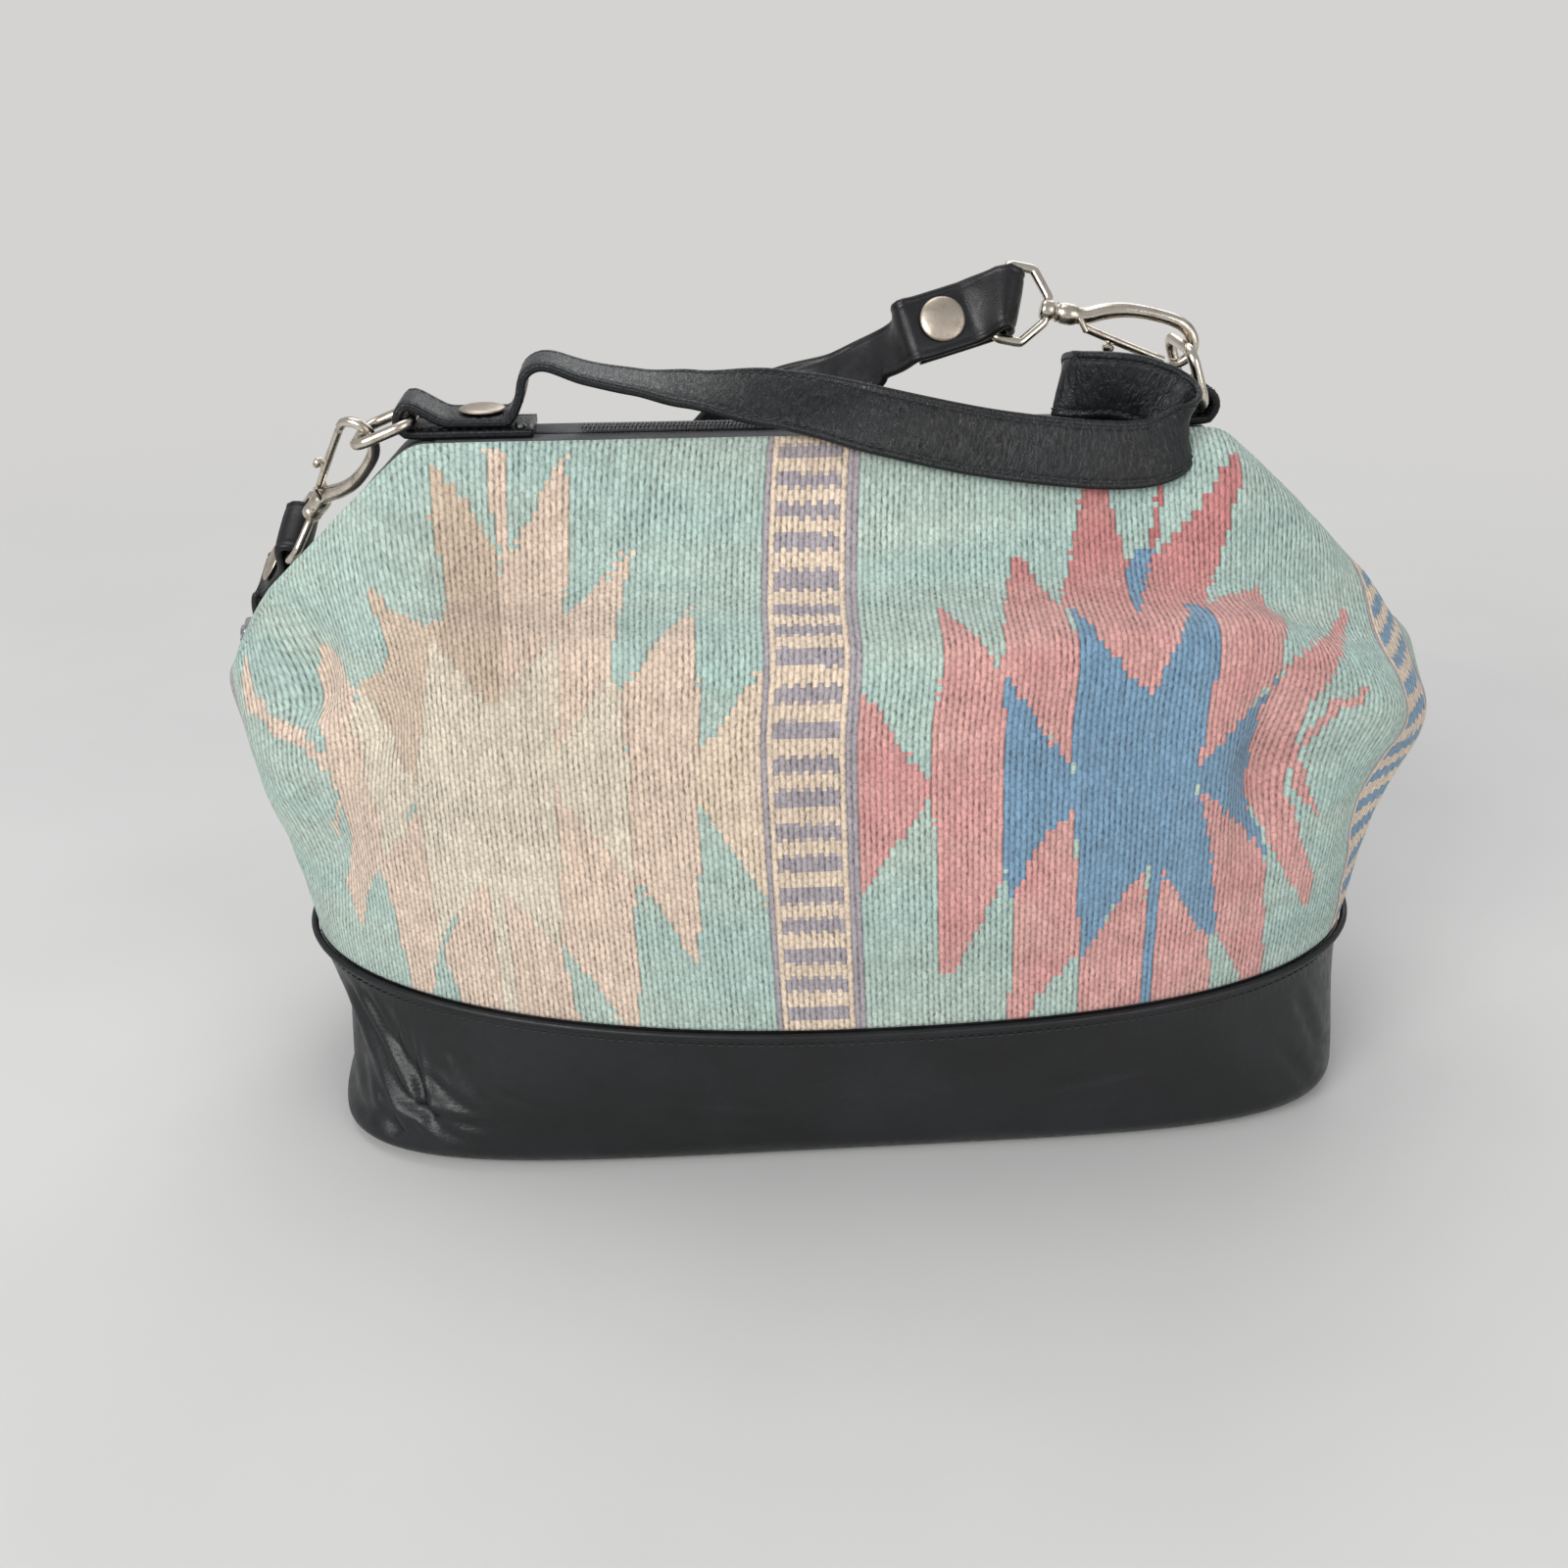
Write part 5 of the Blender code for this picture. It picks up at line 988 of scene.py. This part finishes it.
def open_shell(name, rows, rear, roughen=0.0):
    """A sheet over rows of points, facing away from the bag's middle, with millimetres as its UV."""
    shape = bmesh.new()
    uv = shape.loops.layers.uv.new("leather")
    side = -1 if rear else 1
    verts = []
    for row in rows:
        line = []
        for p in row:
            jog = noise.noise_vector(p * 260) * roughen
            line.append(shape.verts.new((p.x + jog.x, (p.y + jog.y) * side, p.z + jog.z)))
        verts.append(line)
    for r in range(len(rows) - 1):
        for c in range(len(rows[0]) - 1):
            steps = [(r, c), (r, c + 1), (r + 1, c + 1), (r + 1, c)]
            if rear:
                steps.reverse()
            face = shape.faces.new([verts[a][b] for a, b in steps])
            face.smooth = True
            for loop, (a, b) in zip(face.loops, steps):
                loop[uv].uv = (rows[a][b].x / MM, a * 1.5)
    return made(name, shape)


# Brushed cotton binding: blue-black, with a raised nap that catches the light at its rim
nap = new_finish("brushed_black_binding")
nap_place = own_place(nap)
nap_hairs = add(nap, "TexNoise", {"Vector": nap_place, "Scale": 1500.0, "Detail": 4.0, "Roughness": 0.7}).outputs["Fac"]
nap_patch = add(nap, "TexNoise", {"Vector": nap_place, "Scale": 120.0, "Detail": 3.0}).outputs["Fac"]
nap_tone = mix(nap, nap_hairs, linear("#17191d"), linear("#3a3e46"))
surface(nap, Base_Color=mix(nap, spread(nap, nap_patch, 0.35, 0.7, 0.0, 0.5), nap_tone, linear("#24272d")),
        Roughness=0.95,
        Normal=bumped(nap, nap_hairs, 0.7, 0.0004),
        Sheen_Weight=0.35, Sheen_Roughness=0.5, Specular_IOR_Level=0.15)

far, near = CHANNEL_OUTER, 0.3 * MM
channel_section = [(far, CHANNEL_HEIGHT), (far, 8 * MM), (far, 5 * MM), (far, 2 * MM)]
for step in range(1, 5):
    angle = math.pi / 2 * step / 4
    channel_section.append((far - 1.8 * MM * (1 - math.cos(angle)), 2 * MM - 1.8 * MM * math.sin(angle)))
channel_section += [(9 * MM, 0.1 * MM), (7 * MM, 0), (5 * MM, 0.1 * MM)]
for step in range(5):
    angle = math.pi / 2 * step / 4
    channel_section.append((near + 1.8 * MM * (1 - math.sin(angle)), 2 * MM - 1.8 * MM * math.cos(angle)))
channel_section += [(near, 5 * MM), (near, 8 * MM), (near, CHANNEL_HEIGHT)]
for half, rear in (("front", False), ("rear", True)):
    rows = frame_grid(channel_section, -9 * MM, 1.5 * MM)
    sleeve = open_shell(half + "_frame_binding", rows, rear, 0.12 * MM)
    sleeve.data.materials.append(nap)
    thicken(sleeve, CHANNEL_WALL - 0.2 * MM)
    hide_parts(half + "_channel")
    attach(sleeve, half + "_frame")

# Drawn mild steel: grey, half bright, with fine lines along it from the die
drawn_steel = new_finish("drawn_mild_steel")
steel_place = own_place(drawn_steel)
steel_place = add(drawn_steel, "Mapping", {"Vector": steel_place, "Scale": (60.0, 1500.0, 1500.0)}).outputs[0]
draws = add(drawn_steel, "TexNoise", {"Vector": steel_place, "Scale": 1.0, "Detail": 3.0}).outputs["Fac"]
surface(drawn_steel, Base_Color=mix(drawn_steel, draws, linear("#7d7e80"), linear("#a2a3a5")), Metallic=1.0,
        Roughness=spread(drawn_steel, draws, 0.3, 0.7, 0.28, 0.45))
for node in ("front_frame_rod", "rear_frame_rod", "left_hinge_pin", "right_hinge_pin", "left_handle_rivet",
             "right_handle_rivet"):
    dress(node, drawn_steel)


# Zip: two strips of grey woven tape along the top, each with a coil of nylon on its inner edge, and a
# cast slider with a flat pull. The tapes are sewn down on the frame's channels.
TAPE_LOW = FRAME_TOP + 0.3 * MM
TAPE_HALF_LENGTH = 118 * MM
TAPE_SECTION = [(12.4, 0.7), (12.1, 0.25), (11.4, 0.06), (9, 0), (7, 0.03), (5, 0), (2.4, 0.05), (1.5, 0.2),
                (1.25, 0.6)]
COIL_START = -78 * MM
COIL_LENGTH = 120 * MM
COIL_TURNS = 92
COIL_STEPS = 10
# Polyester tape: a tight rib across its width, 0.6 mm to the rib, dusty and matt
tape_cloth = new_finish("ribbed_polyester_tape")
tape_place = own_place(tape_cloth)
tape_parts = add(tape_cloth, "SeparateXYZ", {0: tape_place})
ribs = reckon(tape_cloth, "SINE", reckon(tape_cloth, "MULTIPLY", tape_parts.outputs[0], 2 * math.pi / (0.6 * MM)))
ribs = spread(tape_cloth, ribs, -1.0, 1.0)
dust = add(tape_cloth, "TexNoise", {"Vector": tape_place, "Scale": 45.0, "Detail": 4.0,
                                    "Roughness": 0.65}).outputs["Fac"]
tape_tone = mix(tape_cloth, ribs, linear("#4a4c50"), linear("#626468"))
surface(tape_cloth, Base_Color=mix(tape_cloth, spread(tape_cloth, dust, 0.45, 0.75, 0.0, 0.5), tape_tone,
                                   linear("#808184")),
        Normal=bumped(tape_cloth, ribs, 0.5, 0.0001),
        Roughness=0.75)
# Nylon monofilament: grey, smooth and half clear, so its turns show small bright points
nylon = new_finish("nylon_monofilament")
nylon_spots = add(nylon, "TexNoise", {"Vector": own_place(nylon),
                                      "Scale": 300.0}).outputs["Fac"]
surface(nylon, Base_Color=mix(nylon, nylon_spots, linear("#4a4b4e"), linear("#6a6b6e")), Roughness=0.35,
        Subsurface_Weight=0.05, Specular_IOR_Level=0.5)
for half, rear in (("front", False), ("rear", True)):
    rows = []
    for out, sag in TAPE_SECTION:
        rows.append([])
        for step in range(119):
            x = FRAME_CENTRE - TAPE_HALF_LENGTH + 2 * MM * step
            wave = 0.06 * MM * noise.noise(Vector((x * 60, out / 4, 3 if rear else 0)))
            rows[-1].append(Vector((x, -out * MM, TAPE_LOW + 0.95 * MM - sag * MM + wave)))
    tape = open_shell(half + "_tape", rows, rear)
    tape.data.materials.append(tape_cloth)
    thicken(tape, 0.28 * MM)
    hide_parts(half + "_zip_tape")
    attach(tape, half + "_frame")
    turns = []
    side = 1 if rear else -1
    for step in range(COIL_TURNS * COIL_STEPS + 1):
        angle = 2 * math.pi * step / COIL_STEPS
        turns.append(Vector((COIL_START + COIL_LENGTH * step / (COIL_TURNS * COIL_STEPS),
                             side * (1.9 * MM + 1.05 * MM * math.cos(angle)),
                             TAPE_LOW + 2.3 * MM + 0.7 * MM * math.sin(angle))))
    coil = wire(half + "_coil", turns, 0.3 * MM, sides=1)
    rigid(coil, nylon, half + "_zip_coil", half + "_frame")


# Nickel-plated zinc: warm and bright, rubbed by wear so that its reflections are soft, with patches of
# brown film and small pits
def plated(name, bright, dull, low, high):
    """Plated metal, its roughness from the low to the high value under its film."""
    finish = new_finish(name)
    spot = own_place(finish)
    film = add(finish, "TexNoise", {"Vector": spot, "Scale": 170.0, "Detail": 5.0, "Roughness": 0.6}).outputs["Fac"]
    pits = add(finish, "TexVoronoi", {"Vector": spot, "Scale": 800.0}).outputs["Distance"]
    tone = mix(finish, spread(finish, film, 0.42, 0.75), linear(bright), linear(dull))
    bump = add(finish, "Bump", {"Height": reckon(finish, "ADD", film, pits), "Strength": 0.12, "Distance": 0.0002})
    surface(finish, Base_Color=tone, Metallic=1.0, Roughness=spread(finish, film, 0.35, 0.7, low, high),
            Normal=bump.outputs[0])
    return finish


nickel = plated("worn_nickel_plate", "#d8cfc2", "#a09281", 0.16, 0.34)
brushed_nickel = plated("brushed_nickel_cap", "#c2b6a8", "#9c8f80", 0.34, 0.5)
dress("zip_slider", nickel)
dress("zip_pull", nickel)


# Carrying handle: two layers of fine-grained black leather sewn together along both edges, turned round
# a ring at each end and held there by a cap rivet, and folded over once near its right end.
STRAP_WIDTH = 20.5 * MM
STRAP_THICKNESS = 2.8 * MM
LAYER_STEP = STRAP_THICKNESS + 0.5 * MM
TAB_Z = FRAME_TOP + 0.6 * MM + 1 * MM + STRAP_THICKNESS / 2
LOOP_TURN = 4.4 * MM
LEFT_LOOP = Vector((-129 * MM, 2 * MM, TAB_Z + LOOP_TURN))
RIGHT_LOOP = Vector((119 * MM, 2 * MM, TAB_Z + LOOP_TURN))
UP = Vector((0, 0, 1))
ACROSS = Vector((0, 1, 0))


def smooth_route(points, spacing):
    """Points every so often along a smooth curve through the ones given."""
    ends = [points[0] * 2 - points[1]] + points + [points[-1] * 2 - points[-2]]
    fine = []
    for a, b, c, d in zip(ends, ends[1:], ends[2:], ends[3:]):
        steps = max(2, int((c - b).length / spacing * 4))
        for t in (step / steps for step in range(steps)):
            fine.append(
                b * (2 * t**3 - 3 * t**2 + 1) + (c - a) * 0.5 * (t**3 - 2 * t**2 + t)
                + c * (3 * t**2 - 2 * t**3) + (d - b) * 0.5 * (t**3 - t**2))
    fine.append(points[-1])
    return [place for place, _ in even_along(fine, spacing)]


def turn_round(centre, out, up, across, layer):
    """A strap's end turned round a bar: lower layer, then round the outer side."""
    stations = [(centre - out * layer - up * LOOP_TURN, across), (centre - out * layer / 2 - up * LOOP_TURN, across)]
    for step in range(5):
        angle = math.pi * (step / 4 - 0.5)
        stations.append((centre + (out * math.cos(angle) + up * math.sin(angle)) * LOOP_TURN, across))
    return stations


def strap_route(stations, spacing):
    """A smooth route through stations of (place, direction across), with the direction across all along."""
    marks = [place for place, _ in stations]
    places = smooth_route(marks, spacing)
    lengths = lengths_along(places)
    stops = []
    search = 0
    for mark in marks:
        search = min(range(search, len(places)),
                     key=lambda i: (places[i] - mark).length + 0.02 * (i - search) * spacing)
        stops.append(lengths[search])
    stops[-1] = lengths[-1]
    route = []
    for index, place in enumerate(places):
        stop = min(max(bisect.bisect_left(stops, lengths[index]) - 1, 0), len(stops) - 2)
        share = smoothstep(0, 1, (lengths[index] - stops[stop]) / max(stops[stop + 1] - stops[stop], 1e-6))
        side = stations[stop][1].normalized().lerp(stations[stop + 1][1].normalized(), share)
        along = (places[min(index + 1, len(places) - 1)] - places[max(index - 1, 0)]).normalized()
        side = (side - along * side.dot(along)).normalized()
        route.append((place, side, side.cross(along), along, lengths[index]))
    return route


def strap(name, route, groove):
    """A flat strap with rounded edges and a shallow groove along each, its millimetres as its UV."""
    half = STRAP_WIDTH / 2
    deep = STRAP_THICKNESS / 2
    face = [(half, deep * 0.35), (half - 0.3 * MM, deep * 0.8), (half - 1.0 * MM, deep),
            (half - 1.7 * MM, deep - groove * 0.3), (half - 2.3 * MM, deep - groove), (half - 2.9 * MM,
                                                                                       deep - groove * 0.3),
            (half - 3.8 * MM, deep), (half * 0.3, deep + 0.12 * MM)]
    upper = face + [(-w, h) for w, h in reversed(face)]
    section = upper + [(w, -h) for w, h in reversed(upper)]
    shape = bmesh.new()
    uv = shape.loops.layers.uv.new("leather")
    rings = []
    for place, side, out, _, _ in route:
        rings.append([shape.verts.new(place + side * w + out * h) for w, h in section])
    count = len(section)
    for index in range(len(rings) - 1):
        for step in range(count):
            after = (step + 1) % count
            face = shape.faces.new((rings[index][step], rings[index][after], rings[index + 1][after],
                                    rings[index + 1][step]))
            face.smooth = True
            for loop, (a, b) in zip(face.loops, ((index, step), (index, after), (index + 1, after), (index + 1, step))):
                loop[uv].uv = (section[b][0] / MM + (40 if section[b][1] < 0 else 0), route[a][4] / MM)
    shape.faces.new(rings[0])
    shape.faces.new(list(reversed(rings[-1])))
    bmesh.ops.recalc_face_normals(shape, faces=shape.faces)
    return made(name, shape)


def edge_stitches(name, route, spacing, begin, end):
    """Rows of stitches in the grooves of a strap, on both its faces."""
    rows = []
    for edge in (-1, 1):
        for face in (-1, 1):
            lift = STRAP_THICKNESS / 2 - 0.22 * MM
            line = [p + side * edge * (STRAP_WIDTH / 2 - 2.3 * MM) + out * face * lift for p, side, out, _, _ in route]
            line = line[begin:len(line) - end]
            outs = [out * face for _, _, out, _, _ in route][begin:len(route) - end]
            for number, (place, along) in enumerate(even_along(line, spacing)):
                out = outs[min(round(number * spacing / 1.5 / MM), len(outs) - 1)]
                rows.append((place, along, (out - along * out.dot(along)).normalized()))
    return stitching(name, rows, spacing * 0.8, 0.36 * MM)


def mm(x, y, z):
    """A point given in millimetres."""
    return Vector((x, y, z)) * MM


layer = (TAB_Z + LAYER_STEP) / MM
handle_stations = turn_round(LEFT_LOOP, Vector((-1, 0, 0)), UP, ACROSS, 37 * MM) + [
    (mm(-120, 2, layer + 0.6), ACROSS), (mm(-114, 2, layer), ACROSS), (mm(-104, 2, layer), ACROSS),
    (mm(-99.2, 2, layer + 0.6), ACROSS), (mm(-95.8, 1.5, 239), ACROSS), (mm(-93.5, 1, 246.5), ACROSS),
    (mm(-87, 0, 249.3), ACROSS), (mm(-74, -3, 246), Vector((0, 1, 0.05))), (mm(-59, -5, 243.5), Vector((0, 1, 0.1))),
    (mm(-44, -8, 242), Vector((0, 1, 0.3))), (mm(-18, -14, 240), Vector((0, 1, 0.9))),
    (mm(-3, -18, 238), Vector((0, 0.8, 1))), (mm(15, -24, 234.5), Vector((0, 0.5, 1))),
    (mm(44, -31, 229.5), Vector((0, 0.35, 1))), (mm(74, -33.5, 226), Vector((0, 0.3, 1))),
    (mm(92, -33.5, 225.5), Vector((0, 0.35, 1))), (mm(102, -31, 227.5), Vector((0.1, 0.45, 1))),
    (mm(107.5, -25, 231), Vector((0.1, 0.5, 1))), (mm(106, -18.5, 236), Vector((0, 0.3, 1))),
    (mm(98, -15, 240), Vector((-0.1, 0, 1))), (mm(88, -13.5, 242), Vector((-0.1, -0.1, 1))),
    (mm(79, -10.5, 241.5), Vector((0, 0, 1))), (mm(74, -5, 240.5), Vector((0.3, 0.3, 1))),
    (mm(78, 0.5, 238.2), Vector((0.2, 0.8, 0.7))), (mm(86, 2, 235.6), Vector((0, 1, 0.15))),
    (mm(90, 2, layer + 1.2), ACROSS), (mm(94.5, 2, layer), ACROSS), (mm(102, 2, layer), ACROSS),
    (mm(108.3, 2, layer + 0.3), ACROSS)]
handle_stations += reversed(turn_round(RIGHT_LOOP, Vector((1, 0, 0)), UP, ACROSS, 38 * MM))
handle_route = strap_route(handle_stations, 1.5 * MM)
handle = strap("handle", handle_route, 0.4 * MM)
# Goat leather: dyed black, with a tight pebbled grain of about 0.8 mm that breaks into small creases
# where it bends, and a paler rubbed surface
goat = leather("pebbled_black_goat", "#0b0c0e", "#16181b", 0.31, 0.9, wrinkles=2.6)
rigid(handle, goat, "handle_strap", "front_frame")
handle_seams = edge_stitches("handle_stitching", handle_route, 3.0 * MM, 4, 4)
rigid(handle_seams, thread, None, "front_frame")


# Cap rivets: a thin domed cap of brushed nickel on a post through both layers of strap, four in all.
def frame_at(origin, along, side):
    """Matrix whose Z runs along the axis and whose X is nearest to the side given."""
    z = along.normalized()
    x = (side - side.dot(z) * z).normalized()
    turn = Matrix((x, z.cross(x), z)).transposed().to_4x4()
    return Matrix.Translation(origin) @ turn


def spun(name, profile, place, steps=36):
    """A turned piece: rows of (radius, distance along the axis), spun round and put in its place."""
    mesh = bpy.data.meshes.new(name)
    mesh.from_pydata([(r, 0, a) for r, a in profile], [(k, k + 1) for k in range(len(profile) - 1)], [])
    piece = placed(name, mesh)
    turn = piece.modifiers.new("turn", "SCREW")
    turn.steps = turn.render_steps = steps
    turn.use_merge_vertices = True
    turn.merge_threshold = 0.00002
    turn.use_normal_calculate = True
    apply_modifiers(piece)
    piece.data.transform(place)
    piece.select_set(True)
    return cleaned(35)


def in_mm(profile):
    """A turned piece's profile, given in millimetres."""
    return [(r * MM, a * MM) for r, a in profile]


def cap_rivet(name, node, upper, up, side, body):
    """A cap rivet through both layers of a strap's end, from its upper layer."""
    top = STRAP_THICKNESS / 2 + 0.6 * MM
    bottom = -LAYER_STEP - STRAP_THICKNESS / 2
    profile = [(0, bottom), (1.6 * MM, bottom), (1.6 * MM, top - 0.3 * MM), (6.2 * MM, top - 0.3 * MM), (7.0 * MM, top),
               (7.2 * MM, top + 0.3 * MM), (7.0 * MM, top + 0.6 * MM), (6.3 * MM, top + 0.9 * MM), (5.0 * MM,
                                                                                                    top + 1.2 * MM),
               (3.4 * MM, top + 1.45 * MM), (1.6 * MM, top + 1.58 * MM), (0, top + 1.6 * MM)]
    cap = spun(name, profile, frame_at(upper, up, side))
    rigid(cap, brushed_nickel, node, body)


cap_rivet("left_handle_rivet_cap", "left_handle_cap", mm(-108, 2, layer), UP, Vector((1, 0, 0)), "front_frame")
cap_rivet("right_handle_rivet_cap", "right_handle_cap", mm(100, 2, layer), UP, Vector((1, 0, 0)), "front_frame")


# Rings: bent from nickel-plated wire 3.5 mm thick, one long side in the handle's turned end
def rounded_loop(half_long, half_wide, corner, steps):
    """Flat places round an oblong with round corners."""
    points = []
    for turn, (long_way, wide_way) in enumerate(((1, 1), (-1, 1), (-1, -1), (1, -1))):
        for step in range(steps + 1):
            angle = math.pi / 2 * (turn + step / steps)
            points.append((long_way * (half_long - corner) + corner * math.cos(angle),
                           wide_way * (half_wide - corner) + corner * math.sin(angle)))
    return points


RING_HALF_LONG = 12.6 * MM
RING_HALF_WIDE = 9.5 * MM
seats = {}
for side, loop, hang in (("left", LEFT_LOOP, (-0.93, 0, -0.37)), ("right", RIGHT_LOOP, (-0.35, 0, 0.94))):
    hang = Vector(hang).normalized()
    centre = loop + hang * RING_HALF_WIDE
    seats[side] = centre + hang * RING_HALF_WIDE
    line = [centre + ACROSS * a + hang * b for a, b in rounded_loop(RING_HALF_LONG, RING_HALF_WIDE, 5 * MM, 8)]
    ring = wire(side + "_bent_ring", line, 1.75 * MM, closed=True, sides=4)
    rigid(ring, nickel, side + "_ring", side + "_ring")


# Swivel hooks: cast and plated, a curved claw with a collar that turns on the strap's loop, closed by a
# sprung gate with a small thumb knob
HOOK_BACK = [(0, 6), (-0.6, 10), (-3.2, 16), (-4.8, 23), (-5.0, 32), (-3.8, 40), (0, 44.8), (4.8, 45.4), (8.2, 42.4),
             (8.5, 39.4)]
GATE_LINE = [(3.1, 10.4), (5.4, 22), (8.2, 37.6)]


def joined(name, pieces):
    """Pieces made one object of this name."""
    bpy.ops.object.select_all(action="DESELECT")
    for piece in pieces:
        piece.select_set(True)
    bpy.context.view_layer.objects.active = pieces[0]
    bpy.ops.object.join()
    pieces[0].name = name
    pieces[0].select_set(False)
    return pieces[0]


bars = {}
for side, way, opening, bar_way in (
        ("left", (0.553, -0.50, 0.667), (-1, 0, 1), (0.03, 0.91, 0.42)),
        ("right", (0.975, -0.128, -0.18), (0, 0, -1), (0, 0.5, 0.87))):
    way = Vector(way).normalized()
    hook_place = frame_at(Vector((0, 0, 0)), way, Vector(opening))
    hook_place.translation = seats[side] - hook_place @ mm(2.0, 0, 41.2)
    collar = spun(side + "_collar", in_mm([
        (0, 5), (1.2, 5), (1.2, 0), (2.5, 0), (2.8, 0.25), (3.2, 0.8), (2.9, 1.6), (3.3, 2.4), (3.3, 5.6),
        (2.9, 6.8), (2.2, 8), (0, 8.4)]), hook_place)
    line = smooth_route([hook_place @ mm(s, 0, a) for s, a in HOOK_BACK], 1.2 * MM)
    radii = []
    for step in range(len(line)):
        share = step / (len(line) - 1)
        radii.append(1.25 - 0.3 * smoothstep(0.1, 0.5, share) - 0.25 * smoothstep(0.7, 1, share))
    claw = wire(side + "_claw", line, 2.1 * MM, radii=radii, sides=4)
    ears = []
    for cheek in (-2.3, 2.3):
        ear = [hook_place @ mm(s, cheek * reach, a) for s, reach,
               a in ((-0.6, 0.5, 7), (0.8, 0.9, 8.6), (3.1, 1, 10.4), (3.7, 1, 11))]
        ears.append(wire(side + "_ear", ear, 0.9 * MM, sides=2))
    rigid(joined(side + "_snap_hook", [claw, collar] + ears), nickel, side + "_hook", side + "_hook")

    line = smooth_route([hook_place @ mm(s, 0, a) for s, a in GATE_LINE], 1.5 * MM)
    bar = wire(side + "_gate_bar", line, 1.3 * MM, sides=4)
    knob_place = frame_at(line[round(len(line) * 0.33)], hook_place.to_3x3() @ Vector((1, 0, 0)), way)
    knob = spun(side + "_knob", in_mm([
        (0, 0.2), (1.0, 0.2), (1.0, 1.6), (1.7, 2.0), (2.0, 2.4), (2.0, 3.1), (1.6, 3.8), (0.8, 4.1),
        (0, 4.2)]), knob_place, 20)
    rigid(joined(side + "_sprung_gate", [bar, knob]), nickel, side + "_gate", side + "_gate")

    turned_place = frame_at(hook_place.translation, way, Vector(bar_way))
    corners = [mm(a, 0, b) for a, b in ((-12, -17), (12, -17), (12, -9), (4, -2.6), (-4, -2.6), (-12, -9))]
    line = []
    for before, corner, after in zip(corners[-1:] + corners[:-1], corners, corners[1:] + corners[:1]):
        for share in (-1, -0.5, 0, 0.5, 1):
            end = before if share < 0 else after
            bend = corner + (end - corner).normalized() * abs(share) * 1.6 * MM
            line.append(turned_place @ bend.lerp((before + after) / 2, 0.03 * (1 - abs(share))))
    loop = wire(side + "_strap_loop", line, 1.5 * MM, closed=True, sides=3)
    boss = spun(side + "_boss", in_mm([
        (0, -4.6), (2.4, -4.6), (3.0, -4.1), (3.2, -3.4), (3.2, -1.4), (2.9, -0.7), (2.4, -0.3), (1.1, -0.3),
        (1.1, 4.7), (0, 4.7)]), turned_place)
    rigid(joined(side + "_swivel", [loop, boss]), nickel, side + "_swivel_loop", side + "_swivel")
    bars[side] = (turned_place @ mm(0, 0, -17), (turned_place.to_3x3() @ Vector((1, 0, 0))).normalized(), way)


# Shoulder strap: one long band of smooth black leather with creased edges, its ends turned round the
# swivel loops and held by a cap rivet. It falls over the rear edge and hangs down behind the bag.
CAP_REACH = 20
RIGHT_SKEW = math.radians(29)


def under_cap(cap, run, up, side):
    """Stations of a strap's upper layer, from its turned end on past its cap rivet."""
    return [(cap + run * ahead * MM + up * lift * MM, side)
            for ahead, lift in ((10.5, 0.6), (6, 0), (-6, 0), (-12, 0))]


right_at, right_across, right_out = bars["right"]
left_at, left_across, left_out = bars["left"]
right_up = right_out.cross(right_across)
left_up = left_across.cross(left_out)
right_run = right_out * math.cos(RIGHT_SKEW) + right_across * math.sin(RIGHT_SKEW)
right_side = right_across * math.cos(RIGHT_SKEW) - right_out * math.sin(RIGHT_SKEW)
cap_right = right_at - right_run * CAP_REACH * MM + right_up * (LAYER_STEP - LOOP_TURN)
cap_left = left_at - left_out * CAP_REACH * MM - left_up * (LAYER_STEP - LOOP_TURN)
strap_stations = turn_round(right_at, right_out, right_up, right_across, 30 * MM)
strap_stations[0] = (right_at - right_run * 30 * MM - right_up * LOOP_TURN, right_side)
strap_stations[1] = (right_at - right_run * 15 * MM - right_up * LOOP_TURN, right_side)
strap_stations += under_cap(cap_right, right_run, right_up, right_side) + [
    (mm(21, 20, 246), Vector((0.25, 0.55, 0.75))), (mm(6, 25, 236), Vector((0.05, 0.55, 0.8))),
    (mm(-18, 38, 225.5), Vector((-0.5, 0.2, 0.75))),
    (mm(-38, 53, 211), Vector((-0.88, -0.42, 0.2))), (mm(-54, 69, 201.5), Vector((-0.9, -0.4, 0.1))),
    (mm(-66, 83, 193), Vector((-0.93, -0.35, 0.1))), (mm(-74, 91, 178), Vector((-0.97, -0.1, 0.2))),
    (mm(-80, 90, 140), Vector((-1, -0.1, 0.15))), (mm(-86, 89.5, 92), Vector((-1, -0.15, 0.1))),
    (mm(-93, 89.5, 52), Vector((-1, -0.2, 0.25))), (mm(-104, 89.5, 28), Vector((-0.6, -0.1, 0.8))),
    (mm(-124, 88, 19), Vector((0, 0, 1))), (mm(-144, 82, 30), Vector((0.6, 0.2, 0.8))),
    (mm(-158, 73, 58), Vector((0.9, 0.4, 0.3))), (mm(-170, 64, 90), Vector((0.8, 0.5, 0.3))),
    (mm(-182, 55, 122), Vector((0.6, 0.7, 0.4))), (mm(-191, 47, 148), Vector((0.4, 0.8, 0.45)))]
left_end = turn_round(left_at, left_out, -left_up, left_across, 30 * MM)
left_end += under_cap(cap_left, left_out, -left_up, left_across)
long_route = strap_route(strap_stations + list(reversed(left_end)), 1.8 * MM)
long_strap = strap("long_strap", long_route, 0.3 * MM)
hide = leather("smooth_black_hide", "#111113", "#1c1c1f", 0.36, 0.6)
rigid(long_strap, hide, "shoulder_strap", "bag")
cap_rivet("right_strap_rivet_cap", "right_strap_cap", cap_right, right_up, right_run, "bag")
cap_rivet("left_strap_rivet_cap", "left_strap_cap", cap_left, -left_up, left_out, "bag")
